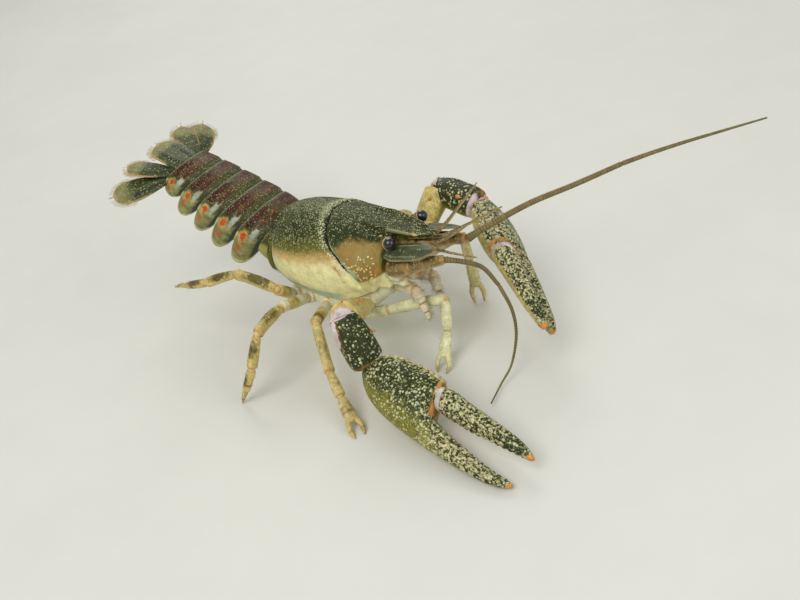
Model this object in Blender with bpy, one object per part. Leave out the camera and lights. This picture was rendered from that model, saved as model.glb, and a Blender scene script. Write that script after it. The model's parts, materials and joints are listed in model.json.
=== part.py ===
"""A spiny-cheek crayfish, life size, standing with its claws forward and its tail raised.

Sizes are millimetres in the animal's own measures: x runs forward from the rear edge of
the carapace, y to the animal's left and z up from the floor. The finished model is moved
so that the middle of its footprint is the origin, and is written in metres.
"""
import math
import random

import bmesh
import bpy
from mathutils import Quaternion, Vector

# Driving dimensions in millimetres
MM = 0.001
GAP = 0.3
WELD = 0.0005
FOOTPRINT_MIDDLE = Vector((22.935, 13.58, 0.0))
MARGIN_HEIGHT = 15.0
TAIL_RISE = math.radians(22.0)
FOOT_FLAT = 0.0

# Carapace stations along the body: place, height above the margin, half width, margin rise
STATION_X = (0.0, 3.0, 8.0, 14.0, 20.0, 26.0, 31.0, 35.0, 37.5)
STATION_TOP = (16.4, 17.8, 19.0, 19.6, 19.8, 19.6, 19.1, 18.4, 17.8)
STATION_HALF = (9.4, 10.5, 11.5, 11.8, 11.6, 10.9, 9.9, 8.7, 7.9)
STATION_RISE = (0.9, 0.1, 0.0, 0.0, 0.3, 1.8, 4.0, 6.5, 8.0)
SHELL_FULLNESS = 0.42
SHELL_VAULT = 1.1
MARGIN_ANGLE = math.radians(125.0)
BELLY_HOLLOW = 0.6

# Edges of the carapace and its neck groove, by the angle down from the back's midline
EDGE_ANGLE = (0.0, 50.0, 90.0, 125.0)
REAR_EDGE = (0.0, -0.5, -1.6, -2.9)
REAR_BORDER = 1.3
SOCKET_X = 3.0
TAIL_CLEARANCE = 18.5
NECK_ANGLE = (0.0, 35.0, 52.0, 68.0, 95.0, 125.0)
NECK_GROOVE = (17.4, 19.4, 21.4, 24.6, 28.0, 30.4)
FRONT_EDGE = (36.8, 36.6, 36.2, 32.6)
FACE_X = 36.9
GROOVE_DEPTH = 0.55
GROOVE_HALF = 0.9

# Height of the carapace's core above the margin, and how far its spines lean forward
SHELL_CORE = 9.0
SPINE_LEAN = 4.0

# Spines on each cheek: place along the body, degrees down from the back, and length
CHEEK_SPINES = (
    (27.8, 78, 0.9), (29.2, 84, 1.2), (30.6, 79, 1.1), (31.9, 87, 1.1), (30.0, 92, 1.2),
    (30.4, 99, 0.8), (33.0, 79, 0.8), (33.4, 92, 0.9), (32.0, 98, 0.9), (31.6, 105, 0.7),
    (23.4, 76, 1.2), (24.8, 88, 1.0), (25.4, 98, 0.7), (21.4, 66, 0.7), (34.6, 31, 1.5),
)

# Rostrum: half width and height along it
ROSTRUM_X = (28.0, 33.0, 37.0, 40.5, 43.2, 45.0, 48.0)
ROSTRUM_HALF = (3.2, 3.9, 3.5, 3.0, 2.5, 1.1, 0.25)
ROSTRUM_TOP = (34.6, 34.3, 33.9, 33.5, 33.2, 33.1, 32.7)
ROSTRUM_DEPTH = (3.0, 3.4, 3.0, 2.4, 1.9, 1.5, 0.5)

# Tail: segment lengths and the section at each joint
ARCH_STEPS = 9
TAIL_JOINT_X = 2.7
TAIL_AXIS_HEIGHT = 22.6
TAIL_LENGTHS = (7.0, 7.2, 7.0, 6.8, 6.7, 6.8)
TAIL_HALF = (7.4, 8.2, 8.9, 8.6, 8.1, 7.5, 6.6)
TAIL_TOP = (4.8, 5.2, 5.6, 5.4, 5.2, 4.9, 4.5)
TAIL_SWEEP = (0.1, 0.38, 0.46, 0.52, 0.56, 0.6, 0.6)
TAIL_BELLY = (4.2, 4.1, 3.8, 3.6, 3.4, 3.1, 2.6)
LOBE_DEPTH = (1.6, 9.4, 8.4, 7.5, 6.6, 3.6)
SWIMMERET_DEPTH = (2.4, 5.6, 5.6, 5.2, 4.6, 0.5)
SWIMMERET_INNER = 1.5
SWIMMERET_OUTER = 4.3
LOBE_THICKNESS = 1.3
LOBE_LEAN = 0.94
RING_SHARES = (0.0, 0.18, 0.38, 0.62, 0.85, 1.0)
RING_SCALES = (0.93, 0.955, 0.985, 1.0, 1.0, 0.985)
LOBE_OUTLINE = (0.3, 0.78, 1.0, 1.0, 0.72, 0.25)
SWIMMERET_OUTLINE = (0.2, 0.5, 0.9, 1.0, 0.8, 0.3)

# Thorax underside that carries the legs
THORAX_X = (1.4, 3.5, 8.5, 13.5, 19.5, 25.0, 29.5, 33.0)
THORAX_HALF = 6.0
THORAX_DEPTH = 5.6

random.seed(7476)


def smooth_value(x, places, values):
    """A smooth curve through the stations, with no overshoot between them."""
    if x <= places[0]:
        return values[0]
    if x >= places[-1]:
        return values[-1]
    spans = [b - a for a, b in zip(places, places[1:])]
    slopes = [(b - a) / s for a, b, s in zip(values, values[1:], spans)]
    tangents = [slopes[0]]
    for left, right in zip(slopes, slopes[1:]):
        tangents.append(0.0 if left * right <= 0 else 2 * left * right / (left + right))
    tangents.append(slopes[-1])
    k = max(i for i, place in enumerate(places[:-1]) if place <= x)
    t = (x - places[k]) / spans[k]
    rise = (2 * t**3 - 3 * t**2 + 1) * values[k] + (3 * t**2 - 2 * t**3) * values[k + 1]
    bend = (t**3 - 2 * t**2 + t) * tangents[k] + (t**3 - t**2) * tangents[k + 1]
    return rise + spans[k] * bend


def loft(rings, forked=False):
    """A closed body through rings of points, each ring with the same number of points.
    A forked end, of eight points, has two side faces to draw fingers from."""
    bm = bmesh.new()
    rows = [[bm.verts.new(point) for point in ring] for ring in rings]
    count = len(rows[0])
    for near, far in zip(rows, rows[1:]):
        for k in range(count):
            following = (k + 1) % count
            bm.faces.new((near[k], near[following], far[following], far[k]))
    bm.faces.new(reversed(rows[0]))
    if forked:
        bm.faces.new(rows[-1][2:6])
        bm.faces.new(rows[-1][-2:] + rows[-1][:2])
        bm.faces.new((rows[-1][1], rows[-1][2], rows[-1][5], rows[-1][6]))
    else:
        bm.faces.new(rows[-1])
    bmesh.ops.recalc_face_normals(bm, faces=bm.faces)
    if bm.calc_volume(signed=True) < 0:
        bmesh.ops.reverse_faces(bm, faces=bm.faces)
    return bm


def nearest_face(bm, place):
    """The face whose middle is nearest to a place."""
    place = Vector(place)
    return min(bm.faces, key=lambda face: (face.calc_center_median() - place).length)


def raise_spine(bm, place, reach, width):
    """Draw one face in to a spine's root, then pull its middle out to a point."""
    face = nearest_face(bm, place)
    side = math.sqrt(face.calc_area())
    shortest = min(edge.calc_length() for edge in face.edges)
    inset = min(max((side - width) / 2, 0.06), 0.3 * shortest)
    bmesh.ops.inset_individual(bm, faces=[face], thickness=inset)
    tip = bmesh.ops.poke(bm, faces=[face])["verts"][0]
    tip.co += Vector(reach)


def draw_finger(bm, root, path, scales, on_floor=False):
    """Draw the end face nearest to a root out along a path, scaled at each point of it."""
    face = nearest_face(bm, root)
    centre = face.calc_center_median()
    first = face.normal.copy()
    offsets = [vert.co - centre for vert in face.verts]
    before = centre
    for point, scale in zip(path, scales):
        face = bmesh.ops.extrude_discrete_faces(bm, faces=[face])["faces"][0]
        turn = first.rotation_difference((Vector(point) - before).normalized())
        for vert, offset in zip(face.verts, offsets):
            vert.co = Vector(point) + (turn @ offset) * scale
        before = Vector(point)
    if on_floor:
        for vert in face.verts:
            vert.co.z = FOOT_FLAT


def union(parts):
    """One closed body from overlapping closed bodies, keeping only its largest surface."""
    collection = bpy.data.collections.new("pieces")
    objects = []
    for part in parts:
        mesh = bpy.data.meshes.new("piece")
        part.to_mesh(mesh)
        part.free()
        objects.append(bpy.data.objects.new("piece", mesh))
    base = objects[0]
    bpy.context.scene.collection.objects.link(base)
    for piece in objects[1:]:
        collection.objects.link(piece)
    modifier = base.modifiers.new("union", "BOOLEAN")
    modifier.operation = "UNION"
    modifier.operand_type = "COLLECTION"
    modifier.collection = collection
    for solver in ("EXACT", "MANIFOLD"):
        modifier.solver = solver
        joined = bmesh.new()
        joined.from_object(base, bpy.context.evaluated_depsgraph_get())
        bmesh.ops.remove_doubles(joined, verts=joined.verts, dist=WELD)
        bmesh.ops.dissolve_degenerate(joined, edges=joined.edges, dist=WELD)
        keep_largest(joined)
        if all(len(edge.link_faces) == 2 for edge in joined.edges):
            break
    for piece in objects:
        bpy.data.objects.remove(piece)
    bpy.data.collections.remove(collection)
    return joined


def keep_largest(bm):
    """Delete every closed surface but the one with the most faces."""
    bm.faces.ensure_lookup_table()
    left = set(bm.faces)
    shells = []
    while left:
        shell = set()
        front = [left.pop()]
        while front:
            face = front.pop()
            shell.add(face)
            for edge in face.edges:
                for other in edge.link_faces:
                    if other in left:
                        left.discard(other)
                        front.append(other)
        shells.append(shell)
    largest = max(shells, key=len)
    loose = [face for face in bm.faces if face not in largest]
    bmesh.ops.delete(bm, geom=loose, context="FACES")


def finish(name, bm, colour, roughness=0.45):
    """A named object with its own material, moved to the model's origin, in metres."""
    for vert in bm.verts:
        vert.co = (vert.co - FOOTPRINT_MIDDLE) * MM
    bmesh.ops.triangulate(bm, faces=bm.faces, ngon_method="EAR_CLIP")
    mesh = bpy.data.meshes.new(name)
    bm.to_mesh(mesh)
    bm.free()
    mesh.shade_smooth()
    mesh.set_sharp_from_angle(angle=math.radians(40.0))
    material = bpy.data.materials.new(name)
    material.use_nodes = True
    shader = material.node_tree.nodes["Principled BSDF"]
    shader.inputs["Base Color"].default_value = (*colour, 1.0)
    shader.inputs["Roughness"].default_value = roughness
    shader.inputs["Metallic"].default_value = 0.0
    mesh.materials.append(material)
    item = bpy.data.objects.new(name, mesh)
    bpy.context.scene.collection.objects.link(item)
    return item


# Colours of the shell
OLIVE_BLACK = (0.05, 0.055, 0.04)
CREAM = (0.62, 0.55, 0.36)
PALE = (0.70, 0.68, 0.52)
TAIL_OLIVE = (0.17, 0.16, 0.10)
FAN_OLIVE = (0.20, 0.19, 0.13)
EYE_BLACK = (0.012, 0.010, 0.014)
FEELER_BROWN = (0.16, 0.10, 0.05)
CLAW_DARK = (0.09, 0.09, 0.055)
CLAW_PALE = (0.45, 0.40, 0.25)
LEG_OCHRE = (0.42, 0.30, 0.13)
MOUTH_CREAM = (0.66, 0.58, 0.40)


def carapace_section(x, angle):
    """A point of the carapace's skin, by its place along the body and angle down the side."""
    margin = MARGIN_HEIGHT + smooth_value(x, STATION_X, STATION_RISE)
    top = MARGIN_HEIGHT + smooth_value(x, STATION_X, STATION_TOP)
    half = smooth_value(x, STATION_X, STATION_HALF)
    axis = margin + SHELL_FULLNESS * (top - margin)
    size = abs(angle)
    if size <= math.pi / 2:
        height = axis + (top - axis) * max(math.cos(size), 0.0) ** SHELL_VAULT
    else:
        height = axis + (axis - margin) * math.cos(size) / -math.cos(MARGIN_ANGLE)
    return Vector((x, half * math.sin(angle), height))


def edge_place(angle, edge):
    """How far forward an edge or groove lies at an angle down the side."""
    angles = NECK_ANGLE if edge is NECK_GROOVE else EDGE_ANGLE
    return smooth_value(math.degrees(abs(angle)), angles, edge)


def carapace_ring(place, sink=0.0):
    """One ring of the carapace; place gives x for each angle. It closes across the belly."""
    steps = 11
    angles = [MARGIN_ANGLE * k / steps for k in range(-steps, steps + 1)]
    ring = []
    for angle in angles:
        x = place(angle)
        point = carapace_section(x, angle)
        if sink and abs(angle) > math.radians(8.0):
            centre = Vector((x, 0.0, MARGIN_HEIGHT + SHELL_CORE))
            fade = min((MARGIN_ANGLE - abs(angle)) / math.radians(20.0), 1.0)
            point += (centre - point).normalized() * sink * fade
        ring.append(point)
    low = ring[-1].copy()
    for share in (0.9, 0.45, 0.0, -0.45, -0.9):
        lift = BELLY_HOLLOW * (1 - abs(share))
        forward = max(low.x, SOCKET_X + 0.4 + 0.1 * low.x)
        ring.append(Vector((forward, low.y * share, low.z + lift)))
    return ring


def beside(edge, offset):
    """Places at a fixed distance in front of an edge of the carapace."""
    return lambda angle: edge_place(angle, edge) + offset


def between(first, second, share):
    """Places part of the way from one line round the carapace to another."""
    return lambda angle: first(angle) * (1 - share) + second(angle) * share


def scaled_ring(ring, scale, x, lift=0.0):
    """A ring drawn in towards its middle, laid flat at one x."""
    middle = sum(ring, Vector()) / len(ring)
    return [Vector((x, p.y * scale, middle.z + (p.z - middle.z) * scale + lift)) for p in ring]


def carapace():
    border = beside(REAR_EDGE, REAR_BORDER)
    groove_back = beside(NECK_GROOVE, -GROOVE_HALF)
    groove_front = beside(NECK_GROOVE, GROOVE_HALF)
    rear = carapace_ring(beside(REAR_EDGE, 0.0))
    socket = scaled_ring(rear, 0.905, SOCKET_X)
    for point, edge in zip(socket, rear):
        point.x = min(max(0.5, edge.x + 0.5), SOCKET_X - 0.2)
        if edge.z < TAIL_CLEARANCE:
            point.x = SOCKET_X - 0.2
    rings = [scaled_ring(rear, 0.87, SOCKET_X), socket, rear, carapace_ring(border, 0.2)]
    for share in (0.14, 0.29, 0.44, 0.58, 0.72, 0.86, 1.0):
        rings.append(carapace_ring(between(border, groove_back, share)))
    rings.append(carapace_ring(beside(NECK_GROOVE, 0.0), GROOVE_DEPTH))
    front = beside(FRONT_EDGE, 0.0)
    for share in (0.0, 0.16, 0.32, 0.48, 0.64, 0.8, 0.92, 1.0):
        rings.append(carapace_ring(between(groove_front, front, share)))
    rings.append(scaled_ring(rings[-1], 0.95, FACE_X))
    body = loft(rings)
    add_cheek_spines(body)
    return union([body, rostrum()])


def add_cheek_spines(bm):
    """Spines on the cheek in front of the neck groove and a few behind it, both sides."""
    for side in (-1, 1):
        for x, degrees, length in CHEEK_SPINES:
            root = carapace_section(x, side * math.radians(degrees))
            behind = Vector((x - SPINE_LEAN, 0.0, MARGIN_HEIGHT + SHELL_CORE))
            reach = (root - behind).normalized() * length * random.uniform(0.9, 1.1)
            raise_spine(bm, root, reach, 1.0)


def rostrum():
    """The beak between the eyes: hollow above, with raised rims and a spine on each side."""
    rings = []
    for x in ROSTRUM_X:
        half = smooth_value(x, ROSTRUM_X, ROSTRUM_HALF)
        top = smooth_value(x, ROSTRUM_X, ROSTRUM_TOP)
        depth = smooth_value(x, ROSTRUM_X, ROSTRUM_DEPTH)
        rim = 0.18 * half
        dish = 0.35 * min(depth, 1.6) * min(half / 2.5, 1.0)
        rings.append([
            Vector((x, -half, top)), Vector((x, -half + rim, top + 0.15 * dish)),
            Vector((x, -0.55 * half, top - dish)), Vector((x, 0.0, top - dish)),
            Vector((x, 0.55 * half, top - dish)), Vector((x, half - rim, top + 0.15 * dish)),
            Vector((x, half, top)), Vector((x, 0.8 * half, top - 0.55 * depth)),
            Vector((x, 0.0, top - depth)), Vector((x, -0.8 * half, top - 0.55 * depth)),
        ])
    bm = loft(rings)
    for side in (-1, 1):
        raise_spine(bm, (42.6, side * 2.7, 33.0), (2.0, side * 0.7, 0.7), 0.8)
    return bm


def thorax():
    """The underside between the legs, just under the carapace and closed below."""
    rings = []
    for x in THORAX_X:
        margin = MARGIN_HEIGHT + smooth_value(x, STATION_X, STATION_RISE)
        narrow = 1.0 if x < 30 else 0.72
        half = THORAX_HALF * narrow
        low = margin - GAP - THORAX_DEPTH * (1.0 if x < 28 else 0.8)
        points = [
            (half + 0.2, margin - GAP - 0.15), (half, margin - GAP - 0.9), (half, low + 1.1),
            (half * 0.6, low),
        ]
        ring = [Vector((x, y, z)) for y, z in points]
        ring.append(Vector((x, 0.0, low - 0.3)))
        ring += [Vector((x, -y, z)) for y, z in reversed(points)]
        ring.append(Vector((x, 0.0, margin - GAP - 0.15)))
        rings.append(ring)
    return loft(rings)


TAIL_BACK = Vector((-math.cos(TAIL_RISE), 0.0, math.sin(TAIL_RISE)))
TAIL_UP = Vector((math.sin(TAIL_RISE), 0.0, math.cos(TAIL_RISE)))
TAIL_ROOT = Vector((TAIL_JOINT_X, 0.0, TAIL_AXIS_HEIGHT))


def tail_measure(along, values):
    joints = [0.0]
    for length in TAIL_LENGTHS:
        joints.append(joints[-1] + length)
    return smooth_value(along, joints, values)


def tail_section(along, lobe, swimmeret, scale):
    """An arch over the tail with a lobe hanging on each side and a pair of swimmerets
    between them, closed across the belly."""
    half = tail_measure(along, TAIL_HALF) * scale
    top = tail_measure(along, TAIL_TOP) * scale
    belly = tail_measure(along, TAIL_BELLY)
    points = []
    for k in range(ARCH_STEPS + 1):
        angle = math.pi * k / ARCH_STEPS
        points.append((half * math.cos(angle), top * math.sin(angle)))
    lobe_end = -belly - lobe
    leaf_end = -belly - swimmeret
    lobe_side = -half * LOBE_LEAN
    left = [
        (-half, -belly * 0.7), (lobe_side, lobe_end),
        (lobe_side + LOBE_THICKNESS * 0.7, lobe_end), (-half + LOBE_THICKNESS * 1.7, -belly),
        (-SWIMMERET_OUTER, -belly), (-SWIMMERET_OUTER + 0.5, leaf_end),
        (-SWIMMERET_INNER - 0.9, leaf_end), (-SWIMMERET_INNER, -belly),
    ]
    right = [(-y, z) for y, z in reversed(left)]
    return points + left + right


def tail_segment(number):
    start = sum(TAIL_LENGTHS[:number])
    length = TAIL_LENGTHS[number]
    rings = []
    outlines = zip(RING_SHARES, LOBE_OUTLINE, SWIMMERET_OUTLINE, RING_SCALES)
    for share, lobe_share, leaf_share, scale in outlines:
        lobe = LOBE_DEPTH[number] * lobe_share
        leaf = SWIMMERET_DEPTH[number] * leaf_share
        along = start + GAP / 2 + (length - GAP) * share
        slant = -tail_measure(along, TAIL_SWEEP)
        if number == 0:
            slant = math.tan(TAIL_RISE) * (1 - share) + slant * share
        ring = []
        for y, z in tail_section(along, lobe, leaf, scale):
            place = TAIL_BACK * (along + z * slant) + TAIL_UP * z
            ring.append(TAIL_ROOT + place + Vector((0.0, y, 0.0)))
        rings.append(ring)
    return loft(rings)


# Blades of the tail fan: from their roots to their tips, and their half widths on the way
FAN_PLANE = (TAIL_BACK + TAIL_UP * TAIL_SWEEP[-1]).normalized()
FAN_THICKNESS = 1.2
TELSON_REACH = TAIL_BACK * 11.4 - TAIL_UP * 0.6
TELSON_HALVES = ((0.0, 3.4), (0.12, 4.2), (0.55, 4.6), (0.8, 4.2), (0.93, 3.0), (1.0, 1.5))
INNER_HALVES = ((0.0, 1.2), (0.2, 2.4), (0.6, 3.3), (0.82, 2.9), (0.94, 1.9), (1.0, 0.8))
OUTER_HALVES = ((0.0, 1.2), (0.2, 2.4), (0.6, 3.9), (0.82, 3.6), (0.94, 2.4), (1.0, 1.1))
INNER_BLADE = {-1: (-12.0, -6.0, 3.0), 1: (-11.0, 7.0, 5.0)}
OUTER_BLADE = {-1: (-8.8, -12.4, 0.0), 1: (-8.4, 11.6, 4.0)}


def fan_root(side, across, height):
    """A place on the plane just behind the last tail segment, where a fan blade starts."""
    slant = TAIL_UP - TAIL_BACK * TAIL_SWEEP[-1]
    end = TAIL_ROOT + TAIL_BACK * sum(TAIL_LENGTHS)
    return end + FAN_PLANE * GAP + slant * height + Vector((0.0, side * across, 0.0))


def frames_along(path, up):
    """For each stretch of a path its direction and two side vectors, turned as little as possible."""
    directions = [(b - a).normalized() for a, b in zip(path, path[1:])]
    first = directions[0]
    over = Vector(up)
    over = (over - first * over.dot(first)).normalized()
    frames = [(first, over, first.cross(over))]
    for before, after in zip(directions, directions[1:]):
        turn = before.rotation_difference(after)
        over = turn @ over
        over = (over - after * over.dot(after)).normalized()
        frames.append((after, over, after.cross(over)))
    return frames


def limb(path, sizes, start=None, end=None, up=(0, 0, 1), sides=8, forked=False):
    """A jointed tube along a path. Each stretch has its own list of (share, half width,
    half height), and its ends lie in the planes that halve the bends, or in those given."""
    path = [Vector(p) for p in path]
    frames = frames_along(path, up)
    normals = [Vector(start).normalized() if start else frames[0][0]]
    for before, after in zip(frames, frames[1:]):
        normals.append((before[0] + after[0]).normalized())
    normals.append(Vector(end).normalized() if end else frames[-1][0])
    rings = []
    for k, (forward, over, aside) in enumerate(frames):
        length = (path[k + 1] - path[k]).length
        stretch = sizes[k]
        if k + 1 < len(frames):
            stretch = [entry for entry in stretch if entry[0] < 1.0]
        for share, half, tall in stretch:
            ring = []
            for n in range(sides):
                angle = 2 * math.pi * (n + 0.5) / sides
                offset = aside * (half * math.cos(angle)) + over * (tall * math.sin(angle))
                near = -offset.dot(normals[k]) / forward.dot(normals[k])
                far = length - offset.dot(normals[k + 1]) / forward.dot(normals[k + 1])
                ring.append(path[k] + offset + forward * (near * (1 - share) + far * share))
            rings.append(ring)
    return loft(rings, forked)


def blade(root, tip, sideways, halves, thickness, start=None):
    """A flat rounded blade from a root to a tip, with its root in a given plane."""
    side = Vector(sideways)
    forward = (Vector(tip) - Vector(root)).normalized()
    upward = forward.cross(side)
    sizes = [(share, half, thickness / 2) for share, half in halves]
    return limb([root, tip], [sizes], start=start, up=upward)


def joint_plane(before, joint, after):
    """The direction square to the plane that halves a bend."""
    before, joint, after = Vector(before), Vector(joint), Vector(after)
    return ((joint - before).normalized() + (after - joint).normalized()).normalized()


def eye(side):
    """A round eye on a short stalk."""
    start = Vector((FACE_X + GAP, side * 5.3, 31.6))
    ball = Vector((38.5, side * 6.0, 32.2))
    radius = 1.4
    forward = (ball - start).normalized()
    end = ball + forward * radius * 0.97
    length = (end - start).length
    reach = (ball - start).length
    sizes = [(0.0, 0.85, 0.85)]
    for angle in (-50, -25, 0, 25, 50, 72):
        turn = math.radians(angle)
        share = (reach + radius * math.sin(turn)) / length
        sizes.append((share, radius * math.cos(turn), radius * math.cos(turn)))
    sizes.append((1.0, 0.3, 0.3))
    return limb([start, end], [sizes], start=(1, 0, 0), sides=10)


def antenna_base(side):
    """The stout jointed stalk of a feeler."""
    path = [(FACE_X + GAP, side * 6.2, 25.4), (43.0, side * 5.8, 27.2), (52.0, side * 4.2, 29.8)]
    sizes = [
        [(0.0, 2.2, 2.1), (0.5, 2.3, 2.1)],
        [(0.0, 1.9, 1.8), (0.35, 1.7, 1.6), (0.42, 1.4, 1.35), (1.0, 1.15, 1.1)],
    ]
    return limb(path, sizes, start=(1, 0, 0), end=FEELER_START[side])


def antenna_scale(side):
    """The flat pointed scale that lies over a feeler's stalk."""
    return blade(
        (FACE_X + GAP, side * 6.0, 29.4), (50.0, side * 4.9, 32.0), (0.1, 1, 0.12 * side),
        ((0.0, 1.2), (0.25, 2.2), (0.6, 2.3), (0.85, 1.3), (1.0, 0.3)), 0.9, (1, 0, 0),
    )


def feeler(path, thick_start, thick_end, start=None, end=None):
    """One length of a long feeler along a smooth curve through its points."""
    points = smooth_path(path, 3)
    count = len(points) - 1
    radii = [thick_start + (thick_end - thick_start) * k / count for k in range(count + 1)]
    sizes = []
    for k in range(count):
        sizes.append([(0.0, radii[k], radii[k]), (1.0, radii[k + 1], radii[k + 1])])
    return limb(points, sizes, start=start, end=end, sides=6)


def smooth_path(path, parts):
    """Points on a smooth curve through the given ones."""
    path = [Vector(p) for p in path]
    padded = [path[0] * 2 - path[1]] + path + [path[-1] * 2 - path[-2]]
    points = []
    for k in range(1, len(padded) - 2):
        a, b, c, d = padded[k - 1:k + 3]
        for n in range(parts):
            t = n / parts
            points.append(0.5 * (2 * b + (c - a) * t + (2 * a - 5 * b + 4 * c - d) * t**2
                                 + (3 * b - a - 3 * c + d) * t**3))
    points.append(path[-1])
    return points


# The plane in which each feeler leaves its stalk
FEELER_START = {-1: (0.95, 0.25, 0.05), 1: (0.85, 0.48, 0.22)}

# Feelers: the left one reaches far out to the side, the right one droops to the floor
FEELER_LEFT = (
    (52.26, 4.35, 29.87), (55.5, 8.0, 31.6), (60.9, 17.1, 33.0), (66.9, 26.3, 33.4),
    (72.8, 37.0, 33.6),
)
FEELER_LEFT_END = (
    (72.8, 37.0, 33.6), (76.7, 43.0, 33.5), (81.5, 49.5, 33.4), (87.5, 57.0, 33.2),
    (94.5, 65.0, 33.2),
)
FEELER_RIGHT = ((52.29, -4.12, 29.82), (55.0, -1.9, 28.4), (57.0, 1.6, 25.0), (59.0, 3.4, 19.5))
FEELER_RIGHT_END = (
    (59.0, 3.4, 19.5), (61.8, 2.7, 14.0), (63.4, 0.5, 9.0), (63.6, -3.3, 3.6),
    (63.4, -8.0, 1.4), (64.6, -14.0, 1.0),
)


def cut_between(path_a, path_b):
    """Leave the usual gap where one length of feeler ends and the next begins."""
    before = Vector(path_a[-2])
    joint = Vector(path_a[-1])
    after = Vector(path_b[1])
    direction = (after - before).normalized()
    first = list(path_a[:-1]) + [joint - direction * GAP / 2]
    second = [joint + direction * GAP / 2] + list(path_b[1:])
    return first, second, direction


def antennule(side):
    """The short forked feeler beside the beak."""
    base = Vector((FACE_X + GAP, side * 2.2, 29.2))
    neck = Vector((44.5, side * 2.0, 30.8))
    sizes = [(0.0, 1.0, 1.0), (0.5, 1.0, 0.95), (1.0, 0.8, 0.8)]
    bm = limb([base, neck], [sizes], start=(1, 0, 0), forked=True)
    for ends in ANTENNULE_ENDS[side]:
        root = neck + Vector((0, math.copysign(0.6, ends[0][1] - neck.y), 0))
        path = smooth_path([neck, *ends], 2)[1:]
        scales = [0.85 - 0.5 * (k + 1) / len(path) for k in range(len(path))]
        draw_finger(bm, root, path, scales)
    return bm


ANTENNULE_ENDS = {
    -1: (((48.0, -3.0, 31.2), (53.0, -3.0, 31.0), (58.5, -1.2, 29.8)),
         ((48.0, -1.2, 31.6), (52.0, 1.0, 33.4), (55.5, 4.4, 35.5))),
    1: (((48.0, 1.7, 31.6), (52.5, 4.6, 33.4), (58.0, 11.0, 35.2)),
        ((47.0, 3.4, 32.9), (49.5, 7.6, 36.4), (51.5, 12.0, 39.6))),
}


def maxilliped(side):
    """The jaw leg: out from the mouth, then folded down at its knee."""
    base = Vector((THORAX_X[-1] + GAP, side * 2.4, 17.4))
    knee = Vector((40.2, side * 3.3, 18.2))
    tip = Vector((43.4, side * 1.6, 9.4)) if side > 0 else Vector((42.2, side * 3.4, 10.6))
    return limb(
        [base, knee, tip],
        [[(0.0, 1.6, 1.5), (0.6, 1.5, 1.6)],
         [(0.0, 1.35, 1.35), (0.3, 1.35, 1.3), (0.5, 1.05, 1.0), (0.8, 0.9, 0.85), (1.0, 0.3, 0.3)]],
        start=(1, 0, 0), sides=8,
    )


# Joints of the walking legs: thorax, end of the ischium, knee, wrist and foot
LEGS = {
    ("leg2", -1): [
        (19.5, -6.3, 11.4), (21.8, -8.3, 9.3), (30.8, -4.7, 10.9),
        (44.8, 0.7, 14.0), (46.2, -2.8, 7.7), (47.4, -9.0, 0.0),
    ],
    ("leg2", 1): [
        (19.5, 6.3, 11.4), (22.0, 9.5, 12.0), (26.6, 15.0, 12.6),
        (33.0, 24.5, 14.5), (35.6, 22.2, 8.6), (40.0, 17.6, 0.0),
    ],
    ("leg3", -1): [
        (13.5, -6.3, 11.2), (15.5, -10.0, 12.0), (20.2, -18.4, 14.0),
        (29.8, -26.4, 8.0), (35.0, -29.6, 5.2), (43.0, -34.0, 0.0),
    ],
    ("leg3", 1): [
        (13.5, 6.3, 11.2), (13.2, 10.0, 12.0), (12.0, 17.0, 14.0),
        (10.0, 27.0, 15.0), (8.0, 33.0, 10.6), (5.0, 40.0, 0.0),
    ],
    ("leg4", -1): [
        (8.5, -6.3, 11.2), (9.0, -10.0, 12.6), (11.0, -20.0, 17.0),
        (13.0, -30.0, 17.0), (13.3, -35.0, 10.4), (8.0, -37.6, 0.0),
    ],
    ("leg4", 1): [
        (8.5, 6.3, 11.2), (7.6, 9.5, 12.0), (4.0, 16.0, 14.4),
        (-1.0, 25.0, 15.6), (-4.5, 31.0, 11.0), (-9.0, 38.0, 0.0),
    ],
    ("leg5", -1): [
        (3.6, -6.3, 11.6), (4.4, -10.2, 12.8), (6.9, -16.0, 18.6),
        (-4.5, -18.1, 22.0), (-12.5, -22.0, 20.0), (-26.0, -23.0, 16.0),
    ],
    ("leg5", 1): [
        (3.6, 6.3, 12.0), (2.6, 9.0, 12.6), (-4.0, 14.0, 14.6),
        (-12.0, 20.5, 15.4), (-18.0, 25.5, 10.8), (-25.0, 31.0, 0.0),
    ],
}


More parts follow.
